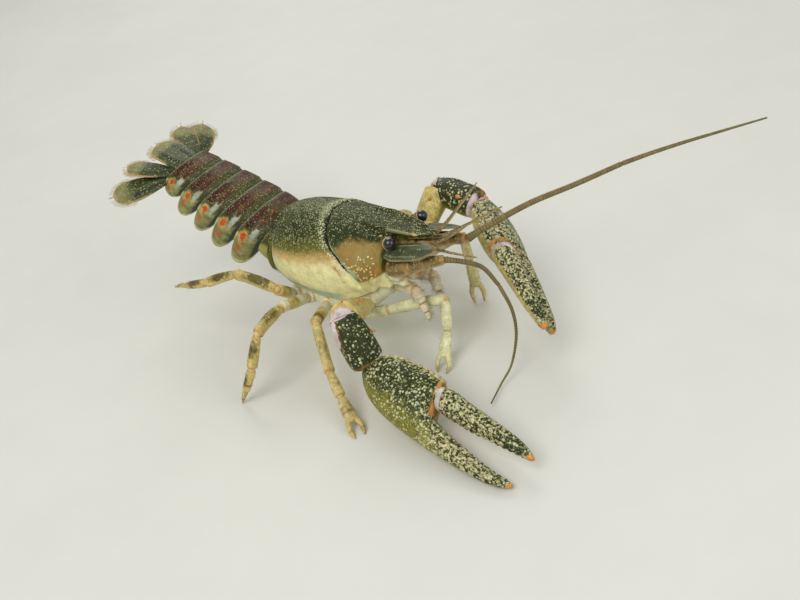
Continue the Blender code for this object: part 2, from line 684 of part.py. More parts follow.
def walking_leg(name, side):
    """Three nodes: the upper leg, the wrist and the foot, each ending in a joint plane."""
    points = [Vector(p) for p in LEGS[name, side]]
    knee_plane = joint_plane(points[2], points[3], points[4])
    wrist_plane = joint_plane(points[3], points[4], points[5])
    title = name + ("_left" if side > 0 else "_right")
    colour = PALE if name == "leg2" else LEG_OCHRE
    half = GAP / 2
    upper_path = points[:3] + [points[3] - knee_plane * half]
    upper = limb(
        upper_path,
        [[(0.0, 1.75, 1.8)], [(0.0, 1.6, 1.6), (0.6, 1.4, 1.4)],
         [(0.0, 1.3, 1.4), (0.3, 1.35, 1.55), (0.85, 1.2, 1.45), (1.0, 1.25, 1.35)]],
        start=(0, side, 0), end=knee_plane,
    )
    finish(title + "_upper", upper, colour)
    wrist = limb(
        [points[3] + knee_plane * half, points[4] - wrist_plane * half],
        [[(0.0, 1.05, 1.1), (0.4, 1.2, 1.25), (1.0, 1.15, 1.2)]],
        start=knee_plane, end=wrist_plane,
    )
    finish(title + "_wrist", wrist, colour)
    on_floor = points[5].z == FOOT_FLAT
    start = points[4] + wrist_plane * half
    direction = (points[5] - start).normalized()
    if name in ("leg2", "leg3"):
        foot = pincer(start, points[5], wrist_plane, direction, on_floor)
    else:
        foot = limb(
            [start, points[5]],
            [[(0.0, 1.0, 1.05), (0.3, 1.05, 1.1), (0.62, 0.8, 0.85), (0.70, 0.62, 0.66), (1.0, 0.38, 0.34)]],
            start=wrist_plane, end=(0, 0, -1) if on_floor else None,
        )
    finish(title + "_foot", foot, colour)


def pincer(start, tip, plane, direction, on_floor):
    """A small hand that ends in two fingers, one fixed and one that would close on it."""
    upright = Vector((0, 0, 1))
    across = direction.cross(upright).normalized()
    fork = start + (tip - start) * 0.6
    bm = limb(
        [start, fork],
        [[(0.0, 1.0, 0.95), (0.35, 1.45, 1.05), (0.8, 1.5, 1.05), (1.0, 1.35, 0.9)]],
        start=plane, up=upright, forked=True,
    )
    for turn in (-1, 1):
        end = tip + across * (turn * 1.3)
        middle = (fork + end) / 2 + across * (turn * 0.75)
        draw_finger(bm, fork + across * turn, [middle, end], [0.8, 0.42], on_floor)
    return bm


# Claws: thorax, ischium, elbow, wrist, middle of the finger tips, and the side of the finger
CLAWS = {
    -1: {
        "points": [
            (27.0, -6.3, 13.8), (28.6, -9.6, 14.6), (35.2, -22.4, 22.3), (40.6, -23.3, 11.3),
            (83.6, -31.6, 1.6),
        ],
        "mesial": (0.26, 0.80, 0.50), "open": 1.0, "size": 1.05,
    },
    1: {
        "points": [
            (27.0, 6.3, 13.8), (27.3, 10.0, 14.7), (27.5, 26.0, 26.0), (39.5, 26.0, 23.3),
            (70.6, 3.0, 11.2),
        ],
        "mesial": (0.30, -0.75, 0.60), "open": 0.45, "size": 1.0,
    },
}

# Palm and fingers seen flat: place along the hand, outer edge, inner edge and half thickness
PALM = (
    (0.0, -2.3, 2.4, 2.4), (2.5, -4.4, 3.9, 3.2), (6.0, -5.8, 5.4, 3.9), (10.0, -6.4, 6.2, 4.2),
    (14.0, -6.5, 6.8, 4.1), (17.2, -6.4, 6.6, 3.8),
)
FIXED_FINGER = (
    (17.35, -6.4, -0.5, 3.3), (22.0, -6.1, -1.0, 2.6), (27.0, -5.6, -1.4, 2.2), (32.0, -4.9, -1.5, 1.8),
    (36.5, -4.0, -1.4, 1.4), (39.5, -2.9, -1.0, 1.0), (41.2, -1.9, -0.9, 0.55),
)
FREE_FINGER = (
    (17.7, 1.2, 5.9, 2.7), (20.0, 0.9, 6.0, 2.6), (25.0, 0.6, 5.2, 2.25), (30.0, 0.4, 4.4, 1.9),
    (35.0, 0.4, 3.6, 1.5), (38.5, 0.4, 2.8, 1.1), (40.8, 0.3, 1.8, 0.8), (41.6, 0.5, 1.3, 0.45),
)
HAND_SIDES = 12
FINGER_SWING = math.radians(10.0)
HINGE_ACROSS = 3.4
HAND_SPINES = (4.5, 8.0, 12.0, 15.6)
FINGER_SPINES = (20.5, 24.5, 28.5)


def hand_ring(frame, along, outer, inner, tall):
    """One ring of the hand, flat-oval, at a place along it."""
    origin, forward, mesial, upward = frame
    middle = (outer + inner) / 2
    half = (inner - outer) / 2
    ring = []
    for n in range(HAND_SIDES):
        angle = 2 * math.pi * n / HAND_SIDES
        across = math.copysign(abs(math.cos(angle)) ** 0.85, math.cos(angle))
        over = math.copysign(abs(math.sin(angle)) ** 0.9, math.sin(angle))
        aside = mesial * (middle + half * across) + upward * (tall * over)
        ring.append(origin + forward * along + aside)
    return ring


def lay_on_floor(bm):
    """Flatten what would reach below the floor into a small flat on it."""
    for vert in bm.verts:
        vert.co.z = max(vert.co.z, FOOT_FLAT)


def claw(side):
    """The great claw in four nodes: arm, wrist, hand and the finger that closes."""
    data = CLAWS[side]
    points = [Vector(p) for p in data["points"]]
    title = "claw_left" if side > 0 else "claw_right"
    half = GAP / 2
    elbow_plane = joint_plane(points[1], points[2], points[3])
    wrist_plane = joint_plane(points[2], points[3], points[4])
    arm_sizes = [
        [(0.0, 2.1, 2.1)],
        [(0.0, 2.1, 2.0), (0.25, 2.5, 2.5), (0.6, 3.0, 3.2), (0.88, 3.3, 3.5), (1.0, 3.1, 3.3)],
    ]
    arm_path = points[:2] + [points[2] - elbow_plane * half]
    arm = limb(arm_path, arm_sizes, start=(0, side, 0), end=elbow_plane, sides=10)
    outward = (points[2] - points[1]).normalized()
    raise_spine(arm, points[2] - outward * 7 + Vector((0, 0, 4)), outward * 0.6 + Vector((0, 0, 1.5)), 1.0)
    raise_spine(arm, points[2] - outward * 8 + Vector((4, 0, 0)), outward * 0.5 + Vector((1.4, 0, 0)), 1.0)
    finish(title + "_arm", arm, CLAW_DARK)

    wrist = limb(
        [points[2] + elbow_plane * half, points[3] - wrist_plane * half],
        [[(0.0, 2.6, 2.7), (0.3, 3.7, 3.6), (0.65, 4.1, 3.9), (1.0, 3.4, 3.3)]],
        start=elbow_plane, end=wrist_plane, sides=10,
    )
    mesial = Vector(data["mesial"])
    inner_side = (points[2] + points[3]) / 2 + mesial * 4
    raise_spine(wrist, inner_side, mesial * 2.0 + (points[3] - points[2]).normalized() * 1.2, 1.4)
    finish(title + "_wrist", wrist, CLAW_DARK)

    origin = points[3] + wrist_plane * half
    forward = (points[4] - origin).normalized()
    mesial = (mesial - forward * mesial.dot(forward)).normalized()
    upward = forward.cross(mesial) * side * -1
    if upward.z < 0:
        upward = -upward
    frame = (origin, forward, mesial, upward)
    size = data["size"]
    rings = [hand_ring(frame, *(size * value for value in entry)) for entry in PALM + FIXED_FINGER]
    rings[0] = plane_ring(rings[0], origin, forward, wrist_plane)
    hand = loft(rings)
    for along in HAND_SPINES:
        place = origin + forward * along + mesial * 7
        raise_spine(hand, place, mesial * 0.9 + forward * 0.4, 1.2)
    lay_on_floor(hand)
    finish(title + "_hand", hand, CLAW_PALE if side > 0 else CLAW_DARK)

    swing = FINGER_SWING * data["open"]
    hinge = origin + (forward * FREE_FINGER[0][0] + mesial * HINGE_ACROSS) * size
    turn = Quaternion(forward.cross(mesial), swing)
    rings = []
    for entry in FREE_FINGER:
        ring = hand_ring(frame, *(size * value for value in entry))
        share = (entry[0] - FREE_FINGER[0][0]) / 3.0
        part = Quaternion().slerp(turn, min(share, 1.0))
        rings.append([hinge + part @ (p - hinge) for p in ring])
    finger = loft(rings)
    for along in FINGER_SPINES:
        place = origin + forward * along + mesial * 8
        raise_spine(finger, place, mesial * 0.7 + forward * 0.2, 1.0)
    lay_on_floor(finger)
    finish(title + "_finger", finger, CLAW_PALE if side > 0 else CLAW_DARK)


def plane_ring(ring, origin, forward, normal):
    """Slide a ring along the hand until it lies in a joint's plane."""
    return [p - forward * ((p - origin).dot(normal) / forward.dot(normal)) for p in ring]


def clear_scene():
    for item in list(bpy.data.objects):
        bpy.data.objects.remove(item)


def build():
    clear_scene()
    finish("carapace", carapace(), OLIVE_BLACK)
    finish("thorax", thorax(), CREAM)
    for number in range(len(TAIL_LENGTHS)):
        finish(f"tail_{number + 1}", tail_segment(number), TAIL_OLIVE)
    root = fan_root(1, 0.0, 1.7)
    telson = blade(root, root + TELSON_REACH, (0, 1, 0), TELSON_HALVES, 1.5, FAN_PLANE)
    finish("telson", telson, FAN_OLIVE)
    for side, word in ((-1, "right"), (1, "left")):
        root = fan_root(side, 3.4, -0.5)
        tip = root + Vector(INNER_BLADE[side])
        inner = blade(root, tip, (0, 1, 0), INNER_HALVES, FAN_THICKNESS, FAN_PLANE)
        finish("uropod_inner_" + word, inner, FAN_OLIVE)
        root = fan_root(side, 5.2, -2.4)
        tip = root + Vector(OUTER_BLADE[side])
        sideways = (0.72, 0.53 * side, -0.42)
        outer = blade(root, tip, sideways, OUTER_HALVES, FAN_THICKNESS, FAN_PLANE)
        finish("uropod_outer_" + word, outer, FAN_OLIVE)
        finish("eye_" + word, eye(side), EYE_BLACK, 0.08)
        finish("antenna_base_" + word, antenna_base(side), FEELER_BROWN)
        finish("antenna_scale_" + word, antenna_scale(side), FEELER_BROWN)
        finish("antennule_" + word, antennule(side), FEELER_BROWN)
        finish("jaw_leg_" + word, maxilliped(side), MOUTH_CREAM)
        claw(side)
        for name in ("leg2", "leg3", "leg4", "leg5"):
            walking_leg(name, side)
    feelers = {
        "left": (FEELER_LEFT, FEELER_LEFT_END, FEELER_START[1]),
        "right": (FEELER_RIGHT, FEELER_RIGHT_END, FEELER_START[-1]),
    }
    for word, (near, far, start) in feelers.items():
        first, second, joint = cut_between(near, far)
        finish(f"feeler_{word}_near", feeler(first, 0.85, 0.6, start, joint), FEELER_BROWN)
        finish(f"feeler_{word}_far", feeler(second, 0.58, 0.26, joint), FEELER_BROWN)


build()
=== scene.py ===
# %% [markdown]
# # A spiny-cheek crayfish, life size
# This lesson dresses the solid model of a crayfish. The solids give the sizes and carry the
# animal; each cell below makes one finer piece or one finish and lays it over its solid.
# Sizes are millimetres in the animal's own measures: x runs forward from the rear edge of
# the carapace, y to the animal's left and z up from the floor.

# %% The frame
import math
import random
from contextlib import contextmanager

import bpy
import numpy as np
from mathutils import Matrix, Quaternion, Vector, noise
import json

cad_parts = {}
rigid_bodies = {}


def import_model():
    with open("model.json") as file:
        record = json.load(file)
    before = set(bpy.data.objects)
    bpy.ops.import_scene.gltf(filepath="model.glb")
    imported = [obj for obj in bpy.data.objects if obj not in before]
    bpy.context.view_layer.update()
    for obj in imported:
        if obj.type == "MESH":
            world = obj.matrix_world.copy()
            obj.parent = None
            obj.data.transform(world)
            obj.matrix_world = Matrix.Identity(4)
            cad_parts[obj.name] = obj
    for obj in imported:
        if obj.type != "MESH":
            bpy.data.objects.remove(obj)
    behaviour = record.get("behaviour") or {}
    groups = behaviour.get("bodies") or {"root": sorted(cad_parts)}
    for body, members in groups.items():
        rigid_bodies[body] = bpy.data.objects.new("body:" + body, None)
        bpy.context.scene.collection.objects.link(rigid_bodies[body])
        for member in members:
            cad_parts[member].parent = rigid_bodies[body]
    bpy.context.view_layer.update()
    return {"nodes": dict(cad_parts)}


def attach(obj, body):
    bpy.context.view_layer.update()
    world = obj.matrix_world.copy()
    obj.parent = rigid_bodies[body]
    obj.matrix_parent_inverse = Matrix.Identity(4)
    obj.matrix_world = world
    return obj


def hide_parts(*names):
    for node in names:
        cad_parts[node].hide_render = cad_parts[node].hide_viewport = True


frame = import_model()
random.seed(7476)
print("solids to dress:", len(frame["nodes"]))

# %% [markdown]
# ## Measures
# One function turns the animal's millimetres into the model's metres, and one draws a smooth
# curve through a few stations. The curve never overshoots, so a body measured at eight
# places doesn't bulge between them. The right side counts as minus one, the left as one.

# %% Measures and curves
MM = 0.001
MIDDLE = np.array((22.935, 13.58, 0.0))
GAP = 0.3
SIDES = {-1: "right", 1: "left"}


def at(point):
    """A place in the animal's measures, in the model's metres."""
    return Vector((np.asarray(point, float) - MIDDLE) * MM)


def unit(way):
    """A direction of length one."""
    return way / np.linalg.norm(way)


def full_turn(count):
    """Angles once round a rib, where the last is the first again."""
    return np.linspace(0.0, 2 * math.pi, count)


def smooth(x, places, values):
    """A smooth curve through the stations, for one number or many."""
    places = np.asarray(places, float)
    values = np.asarray(values, float)
    spans = np.diff(places)
    slopes = np.diff(values) / spans
    left = slopes[:-1]
    right = slopes[1:]
    total = np.where(left + right == 0, 1.0, left + right)
    inner = np.where(left * right > 0, 2 * left * right / total, 0.0)
    tangents = np.concatenate((slopes[:1], inner, slopes[-1:]))
    x = np.clip(x, places[0], places[-1])
    k = np.clip(np.searchsorted(places, x, side="right") - 1, 0, len(spans) - 1)
    t = (x - places[k]) / spans[k]
    rise = (2 * t**3 - 3 * t**2 + 1) * values[k] + (3 * t**2 - 2 * t**3) * values[k + 1]
    bend = (t**3 - 2 * t**2 + t) * tangents[k] + (t**3 - t**2) * tangents[k + 1]
    return rise + spans[k] * bend


def bump(distance, width):
    """One at a distance of nought, falling to nothing past the width."""
    return np.exp(-(np.asarray(distance, float) / width) ** 2)


def step(value, low, high):
    """Nought below low, one above high, and smooth between."""
    t = np.clip((np.asarray(value, float) - low) / (high - low), 0.0, 1.0)
    return t * t * (3 - 2 * t)


def fall(value, low, high):
    """One below low, nought above high, and smooth between."""
    return 1 - step(value, low, high)


# %% [markdown]
# ## Helpers for making skins
# Most of a crayfish is hard shell shaped like a bent, tapering tube. A grid is the quickest
# start: its rows are laid over ribs, its seam is merged and its faces are turned outwards.
# Where two skins have to grow into each other, a voxel remesh melts them into one.

# %% Helpers for making skins
def deselect():
    """Leave nothing selected, because an operator acts on all that is."""
    if bpy.context.mode != "OBJECT":
        bpy.ops.object.mode_set(mode="OBJECT")
    bpy.ops.object.select_all(action="DESELECT")


def pick(piece):
    """Make a piece the only selected one."""
    deselect()
    piece.select_set(True)
    bpy.context.view_layer.objects.active = piece


@contextmanager
def editing(piece):
    """Work on the whole of a piece, point by point."""
    pick(piece)
    bpy.ops.object.mode_set(mode="EDIT")
    bpy.ops.mesh.select_all(action="SELECT")
    yield
    bpy.ops.object.mode_set(mode="OBJECT")


def close_up(piece):
    """Merge what lies together and turn the faces outwards."""
    with editing(piece):
        bpy.ops.mesh.remove_doubles(threshold=0.002 * MM)
        bpy.ops.mesh.normals_make_consistent(inside=False)
    bpy.ops.object.shade_smooth()


def mark(piece, **marks):
    """Keep named numbers for each point of a piece, for its material to read."""
    for name, values in marks.items():
        layer = piece.data.attributes.get(name)
        if layer is None:
            layer = piece.data.attributes.new(name, "FLOAT", "POINT")
        layer.data.foreach_set("value", np.asarray(values, np.float32).ravel())


def skin_over(name, ribs, **marks):
    """A grid whose rows are laid over ribs, given in millimetres."""
    deselect()
    ribs = np.asarray(ribs, float)
    rows, columns = ribs.shape[:2]
    bpy.ops.mesh.primitive_grid_add(
        x_subdivisions=columns - 1, y_subdivisions=rows - 1, size=MM
    )
    piece = bpy.context.object
    piece.name = name
    piece.data.name = name
    piece.data.vertices.foreach_set("co", ((ribs.reshape(-1, 3) - MIDDLE) * MM).ravel())
    mark(piece, **marks)
    close_up(piece)
    return piece


def join(name, pieces):
    """Several pieces as one."""
    deselect()
    for piece in pieces:
        piece.select_set(True)
    bpy.context.view_layer.objects.active = pieces[0]
    if len(pieces) > 1:
        bpy.ops.object.join()
    pieces[0].name = name
    pieces[0].data.name = name
    return pieces[0]


def melt(piece, grain, smoothing):
    """Melt overlapping skins into one and smooth away the little steps."""
    pick(piece)
    piece.data.remesh_voxel_size = grain * MM
    bpy.ops.object.voxel_remesh()
    with editing(piece):
        bpy.ops.mesh.vertices_smooth(factor=0.5, repeat=smoothing)
    bpy.ops.object.shade_smooth()


def pull(rows, what, width=1):
    """One value of every row of a mesh's table."""
    values = np.zeros(len(rows) * width)
    rows.foreach_get(what, values)
    return values.reshape(-1, width) if width > 1 else values


def places(piece):
    """The points of a piece in the animal's measures."""
    return pull(piece.data.vertices, "co", 3) / MM + MIDDLE


def facing(piece):
    """The way that each point of a piece faces."""
    return pull(piece.data.vertex_normals, "vector", 3)


def read(piece, name):
    """The numbers kept for the points of a piece."""
    return pull(piece.data.attributes[name].data, "value")


def kept(piece, name):
    """The same, or noughts where the piece doesn't have them."""
    if name in piece.data.attributes:
        return read(piece, name)
    return np.zeros(len(piece.data.vertices))


def squarer(wave, power):
    """A sine or cosine whose curve is pushed out, so that a round rib turns squarer."""
    return np.sign(wave) * np.abs(wave) ** power


def closed(ribs, past=0.0):
    """Ribs with each end drawn to a point; the last point may lie a little past its rib."""
    first, last = (np.tile(rib.mean(axis=0), (len(rib), 1)) for rib in (ribs[0], ribs[-1]))
    return [first] + ribs + [last + past]


def turned(place, way):
    """Moves what stands upright to a place, pointing a given way."""
    turn = Vector((0, 0, 1)).rotation_difference(Vector(way)).to_matrix().to_4x4()
    return Matrix.Translation(at(place)) @ turn


# %% [markdown]
# ## The camera, the light and the floor
# The camera looks down on the animal from its right front, as in the photograph. Large soft
# lamps stand round it, and the floor is plain and pale.

# %% Camera, light and floor
CAMERA_PLACE = (172.05, -132.47, 139.93)
CAMERA_TURN = (55.28, 12.795, 38.156)
CAMERA_LENS = 43.47
LAMPS = (
    ("key", (0.10, -0.42, 0.55), 0.45, 2.4, (1.0, 0.985, 0.95)),
    ("fill", (0.55, 0.05, 0.30), 0.50, 1.0, (0.93, 0.97, 1.0)),
    ("back", (-0.35, 0.35, 0.45), 0.40, 1.3, (1.0, 0.98, 0.95)),
)

deselect()
bpy.ops.object.camera_add(
    location=at(CAMERA_PLACE), rotation=[math.radians(turn) for turn in CAMERA_TURN]
)
camera = bpy.context.object
camera.name = "view_camera"
camera.data.lens = CAMERA_LENS
camera.data.sensor_width = 36.0
camera.data.clip_start = 0.001
bpy.context.scene.camera = camera

for lamp_name, place, size, power, colour in LAMPS:
    bpy.ops.object.light_add(type="AREA", location=place)
    lamp = bpy.context.object
    lamp.name = "lamp_" + lamp_name
    lamp.rotation_euler = (-Vector(place)).to_track_quat("-Z", "Y").to_euler()
    lamp.data.shape = "DISK"
    lamp.data.size = size
    lamp.data.energy = power
    lamp.data.color = colour

world = bpy.data.worlds.new("studio")
bpy.context.scene.world = world
world.use_nodes = True
world.node_tree.nodes["Background"].inputs["Color"].default_value = (0.83, 0.85, 0.82, 1.0)
world.node_tree.nodes["Background"].inputs["Strength"].default_value = 0.55
bpy.context.scene.view_settings.view_transform = "Standard"

deselect()
bpy.ops.mesh.primitive_plane_add(size=6.0, location=(0.0, 0.0, 0.0))
floor = bpy.context.object
floor.name = "floor"
print("camera, lamps and floor are set")

# %% [markdown]
# ## Finishes
# Every shell surface is painted the same way: a base colour, then layers of colour, each let
# through by a mark on the mesh whose edge is made ragged by noise, then fine pale dots, and
# last a fine grain that roughens and dimples it. The ragged edge, the dots and the grain are
# node groups, so that each finish gives them its own values.

# %% Node helpers and groups
def shade(red, green, blue):
    """A colour given as it looks on a screen, from 0 to 255."""
    def linear(value):
        value /= 255
        return value / 12.92 if value <= 0.04045 else ((value + 0.055) / 1.055) ** 2.4
    return (linear(red), linear(green), linear(blue), 1.0)


def feed(tree, item, values):
    """Give a node its inputs: numbers, colours or what comes out of other nodes."""
    for socket, value in values.items():
        if isinstance(value, bpy.types.NodeSocket):
            tree.links.new(value, item.inputs[socket])
        else:
            item.inputs[socket].default_value = value
    return item.outputs


def add(tree, kind, inputs=None, **settings):
    """One node, with its settings and inputs; gives what comes out of it."""
    item = tree.nodes.new("ShaderNode" + kind)
    for key, value in settings.items():
        setattr(item, key, value)
    return feed(tree, item, inputs or {})


def on_piece(tree):
    """The place of a point on its piece."""
    return add(tree, "TexCoord")["Object"]


def sums(tree, operation, *values):
    """One step of arithmetic."""
    return add(tree, "Math", dict(enumerate(values)), operation=operation)[0]


def remap(tree, value, low, high, to_low=0.0, to_high=1.0, **settings):
    """A number carried from one range into another."""
    return add(tree, "MapRange", {"Value": value, "From Min": low, "From Max": high,
                                  "To Min": to_low, "To Max": to_high}, **settings)[0]


def group(name, sockets_in, label_out):
    """An empty node group with named numbers going in and one coming out."""
    tree = bpy.data.node_groups.new(name, "ShaderNodeTree")
    for label, value in sockets_in:
        socket = tree.interface.new_socket(label, in_out="INPUT", socket_type="NodeSocketFloat")
        socket.default_value = value
    tree.interface.new_socket(label_out, in_out="OUTPUT", socket_type="NodeSocketFloat")
    return tree, tree.nodes.new("NodeGroupInput").outputs, tree.nodes.new("NodeGroupOutput").inputs


def ragged_edge_group():
    """A mark whose edge wanders with noise."""
    tree, given, result = group(
        "ragged edge", (("Mark", 0.0), ("Scale", 900), ("Raggedness", 0.5), ("Softness", 0.15)),
        "Mask",
    )
    wander = add(tree, "TexNoise", {"Vector": on_piece(tree), "Scale": given["Scale"],
                                    "Detail": 4.0})[0]
    centred = sums(tree, "SUBTRACT", wander, 0.5)
    moved = sums(tree, "MULTIPLY_ADD", centred, given["Raggedness"], given["Mark"])
    low = sums(tree, "SUBTRACT", 0.5, given["Softness"])
    high = sums(tree, "ADD", 0.5, given["Softness"])
    mask = remap(tree, moved, low, high, interpolation_type="SMOOTHSTEP")
    tree.links.new(mask, result["Mask"])
    return tree


def pale_dots_group():
    """Round dots of uneven size, as many as the density says."""
    tree, given, result = group(
        "pale dots", (("Scale", 1500), ("Size", 0.3), ("Density", 1.0)), "Mask"
    )
    cells = add(tree, "TexVoronoi", {"Vector": on_piece(tree), "Scale": given["Scale"]})
    chance = add(tree, "SeparateColor", {0: cells["Color"]})
    spread = sums(tree, "MULTIPLY_ADD", chance[0], 0.9, 0.55)
    radius = sums(tree, "MULTIPLY", spread, given["Size"])
    inside = sums(tree, "SUBTRACT", radius, cells["Distance"])
    kept = sums(tree, "SUBTRACT", given["Density"], chance[1])
    mask = sums(tree, "MULTIPLY", remap(tree, inside, 0.0, 0.08), remap(tree, kept, 0.0, 0.06))
    tree.links.new(mask, result["Mask"])
    return tree


def shell_grain_group():
    """The fine unevenness of hard shell: soft lumps with small pits."""
    tree, given, result = group(
        "shell grain", (("Lump Scale", 700), ("Pit Scale", 3200), ("Pits", 0.5)), "Height"
    )
    coords = on_piece(tree)
    lumps = add(tree, "TexNoise", {"Vector": coords, "Scale": given["Lump Scale"], "Detail": 5.0})
    pits = add(tree, "TexVoronoi", {"Vector": coords, "Scale": given["Pit Scale"]})
    depth = remap(tree, pits["Distance"], 0.0, 0.35, -1.0, 0.0)
    height = sums(tree, "MULTIPLY_ADD", depth, given["Pits"], lumps[0])
    tree.links.new(height, result["Height"])
    return tree


RAGGED = ragged_edge_group()
DOTS = pale_dots_group()
GRAIN = shell_grain_group()
print("node groups:", RAGGED.name, DOTS.name, GRAIN.name)

# %% [markdown]
# A finish is then a short list: its base colour, its layers from bottom to top, and its dots.
# Each layer names the mark that lets it through, its colour, and how ragged its edge is.

# %% One finish from its list
def use_group(tree, which, values):
    """A node that holds a group, with its values."""
    item = tree.nodes.new("ShaderNodeGroup")
    item.node_tree = which
    return feed(tree, item, values)[0]


def marked(tree, mark_name):
    """A mark that is kept on the mesh."""
    return add(tree, "Attribute", attribute_name=mark_name)["Fac"]


def blend_colour(tree, factor, under, over, blend="MIX"):
    """One colour laid over another."""
    return add(tree, "Mix", {0: factor, 6: under, 7: over}, data_type="RGBA", blend_type=blend)[2]


def finish(name, base, layers=(), dots=(), mottle=0.35, mottle_scale=500, roughness=0.36,
           relief=0.12, coat=0.12, pits=0.5, lump_scale=700, pit_scale=3200, dot_relief=0.6,
           gloss=0.25):
    """A shell finish: base colour, layers of colour, dots and grain."""
    material = bpy.data.materials.new(name)
    material.use_nodes = True
    tree = material.node_tree
    coords = on_piece(tree)
    cloudy = add(tree, "TexNoise", {"Vector": coords, "Scale": mottle_scale, "Detail": 6.0,
                                    "Roughness": 0.65})[0]
    colour = shade(*base)
    for mark_name, over, scale, raggedness, softness in layers:
        mask = use_group(tree, RAGGED, {"Mark": marked(tree, mark_name), "Scale": scale,
                                        "Raggedness": raggedness, "Softness": softness})
        colour = blend_colour(tree, mask, colour, shade(*over))
    speckle = add(tree, "TexNoise", {"Vector": coords, "Scale": mottle_scale * 6, "Detail": 3.0})[0]
    both = sums(tree, "MULTIPLY_ADD", speckle, 0.45, cloudy)
    light = remap(tree, both, 0.5, 0.95, 1.0 - mottle, 1.0 + mottle * 0.6)
    clouded = add(tree, "CombineColor", {0: light, 1: light, 2: light})[0]
    colour = blend_colour(tree, 1.0, colour, clouded, "MULTIPLY")
    height = use_group(tree, GRAIN, {"Lump Scale": lump_scale, "Pit Scale": pit_scale,
                                     "Pits": pits})
    for mark_name, over, scale, size, strength in dots:
        mask = use_group(tree, DOTS, {"Scale": scale, "Size": size,
                                      "Density": marked(tree, mark_name)})
        mask = sums(tree, "MULTIPLY", mask, strength)
        colour = blend_colour(tree, mask, colour, shade(*over))
        height = sums(tree, "MULTIPLY_ADD", mask, dot_relief, height)
    worn = remap(tree, cloudy, 0.3, 0.7, roughness - 0.08, roughness + 0.1)
    raised = add(tree, "Bump", {"Height": height, "Distance": relief * MM, "Strength": 0.8})[0]
    feed(tree, tree.nodes["Principled BSDF"], {
        "Base Color": colour, "Roughness": worn, "Normal": raised, "Coat Weight": coat,
        "Coat Roughness": 0.2, "Specular IOR Level": gloss,
    })
    return material


def wear(piece, material):
    """Give a piece its finish."""
    piece.data.materials.clear()
    piece.data.materials.append(material)


def dress(piece, material, slot, *nodes):
    """Finish a piece, let it ride with the body and let it stand for solids; the slot is not used.
    """
    wear(piece, material)
    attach(piece, "root")
    if nodes:
        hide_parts(*nodes)


# %% [markdown]
# The floor is a plain pale sheet with the faintest cloud in it.

# %% Floor finish
floor_finish = finish("floor_pale", (214, 213, 206), mottle=0.03, mottle_scale=14.0,
                      roughness=0.6, relief=0.02, coat=0.0, pits=0.0)
wear(floor, floor_finish)
print("floor finished")

# %% [markdown]
# ## The carapace
# The carapace is a deep saddle of shell: high and vaulted, rolled in at its rear edge, cut by
# the neck groove that slants forward down each side, and drawn out in front into the flat,
# hollowed rostrum between the eyes. Its ribs come from the same few stations as the solid's.
# The neck groove, the rims and the ridge behind the eye are pressed in as the ribs are laid.

# %% Carapace measures
MARGIN_HEIGHT = 15.0
STATION_X = (0.0, 3.0, 8.0, 14.0, 20.0, 26.0, 31.0, 35.0, 37.5)
STATION_TOP = (16.4, 17.8, 19.0, 19.6, 19.8, 19.6, 19.1, 18.4, 17.8)
STATION_HALF = (9.4, 10.5, 11.5, 11.8, 11.6, 10.9, 9.9, 8.7, 7.9)
STATION_RISE = (0.9, 0.1, -0.2, -0.5, -0.3, 1.2, 3.6, 6.3, 8.0)
SHELL_FULLNESS = 0.42
SHELL_VAULT = 1.1
MARGIN_ANGLE = 125
EDGE_ANGLE = (0.0, 50.0, 90.0, 125)
REAR_ANGLE = (0.0, 50.0, 90.0, 107, 117, 125)
REAR_EDGE = (0.0, -0.5, -1.6, -2.2, -1.9, 0.4)
FRONT_EDGE = (36.8, 36.6, 36.2, 32.6)
NECK_ANGLE = (0.0, 35.0, 52.0, 68.0, 95.0, 125)
NECK_GROOVE = (17.4, 19.4, 21.4, 24.6, 28.0, 30.4)
FACE_X = 36.9
SOCKET_X = 3.0
SHELL_MIDDLE = 24.0
ROSTRUM_X = (28.0, 33.0, 37.0, 40.5, 43.2, 45.0, 48.0)
ROSTRUM_HALF = (3.2, 3.9, 3.5, 3.0, 2.5, 1.1, 0.25)
ROSTRUM_TOP = (34.6, 34.3, 33.9, 33.5, 33.2, 33.1, 32.7)
ROSTRUM_DEPTH = (3.0, 3.4, 3.0, 2.4, 1.9, 1.5, 0.5)


def shell_line(x):
    """Height of the margin, of the back and of the widest line, and the half width."""
    margin = MARGIN_HEIGHT + smooth(x, STATION_X, STATION_RISE)
    top = MARGIN_HEIGHT + smooth(x, STATION_X, STATION_TOP)
    return margin, top, margin + SHELL_FULLNESS * (top - margin), smooth(x, STATION_X, STATION_HALF)


def shell_point(x, degrees, raised=0.0):
    """Points of the shell by place along the body and angle down the side."""
    margin, top, axis, half = shell_line(x)
    angle = np.radians(degrees)
    above = axis + (top - axis) * np.clip(np.cos(angle), 0.0, None) ** SHELL_VAULT
    below = axis - (axis - margin) * np.cos(angle) / math.cos(math.radians(MARGIN_ANGLE))
    height = np.where(np.abs(degrees) <= 90.0, above, below)
    point = np.stack((x + 0.0 * angle, half * np.sin(angle), height), axis=-1)
    outward = point - np.stack((x + 0.0 * angle, 0.0 * angle, SHELL_MIDDLE + 0.0 * angle), axis=-1)
    outward /= np.linalg.norm(outward, axis=-1, keepdims=True)
    return point + outward * np.asarray(raised)[..., None]


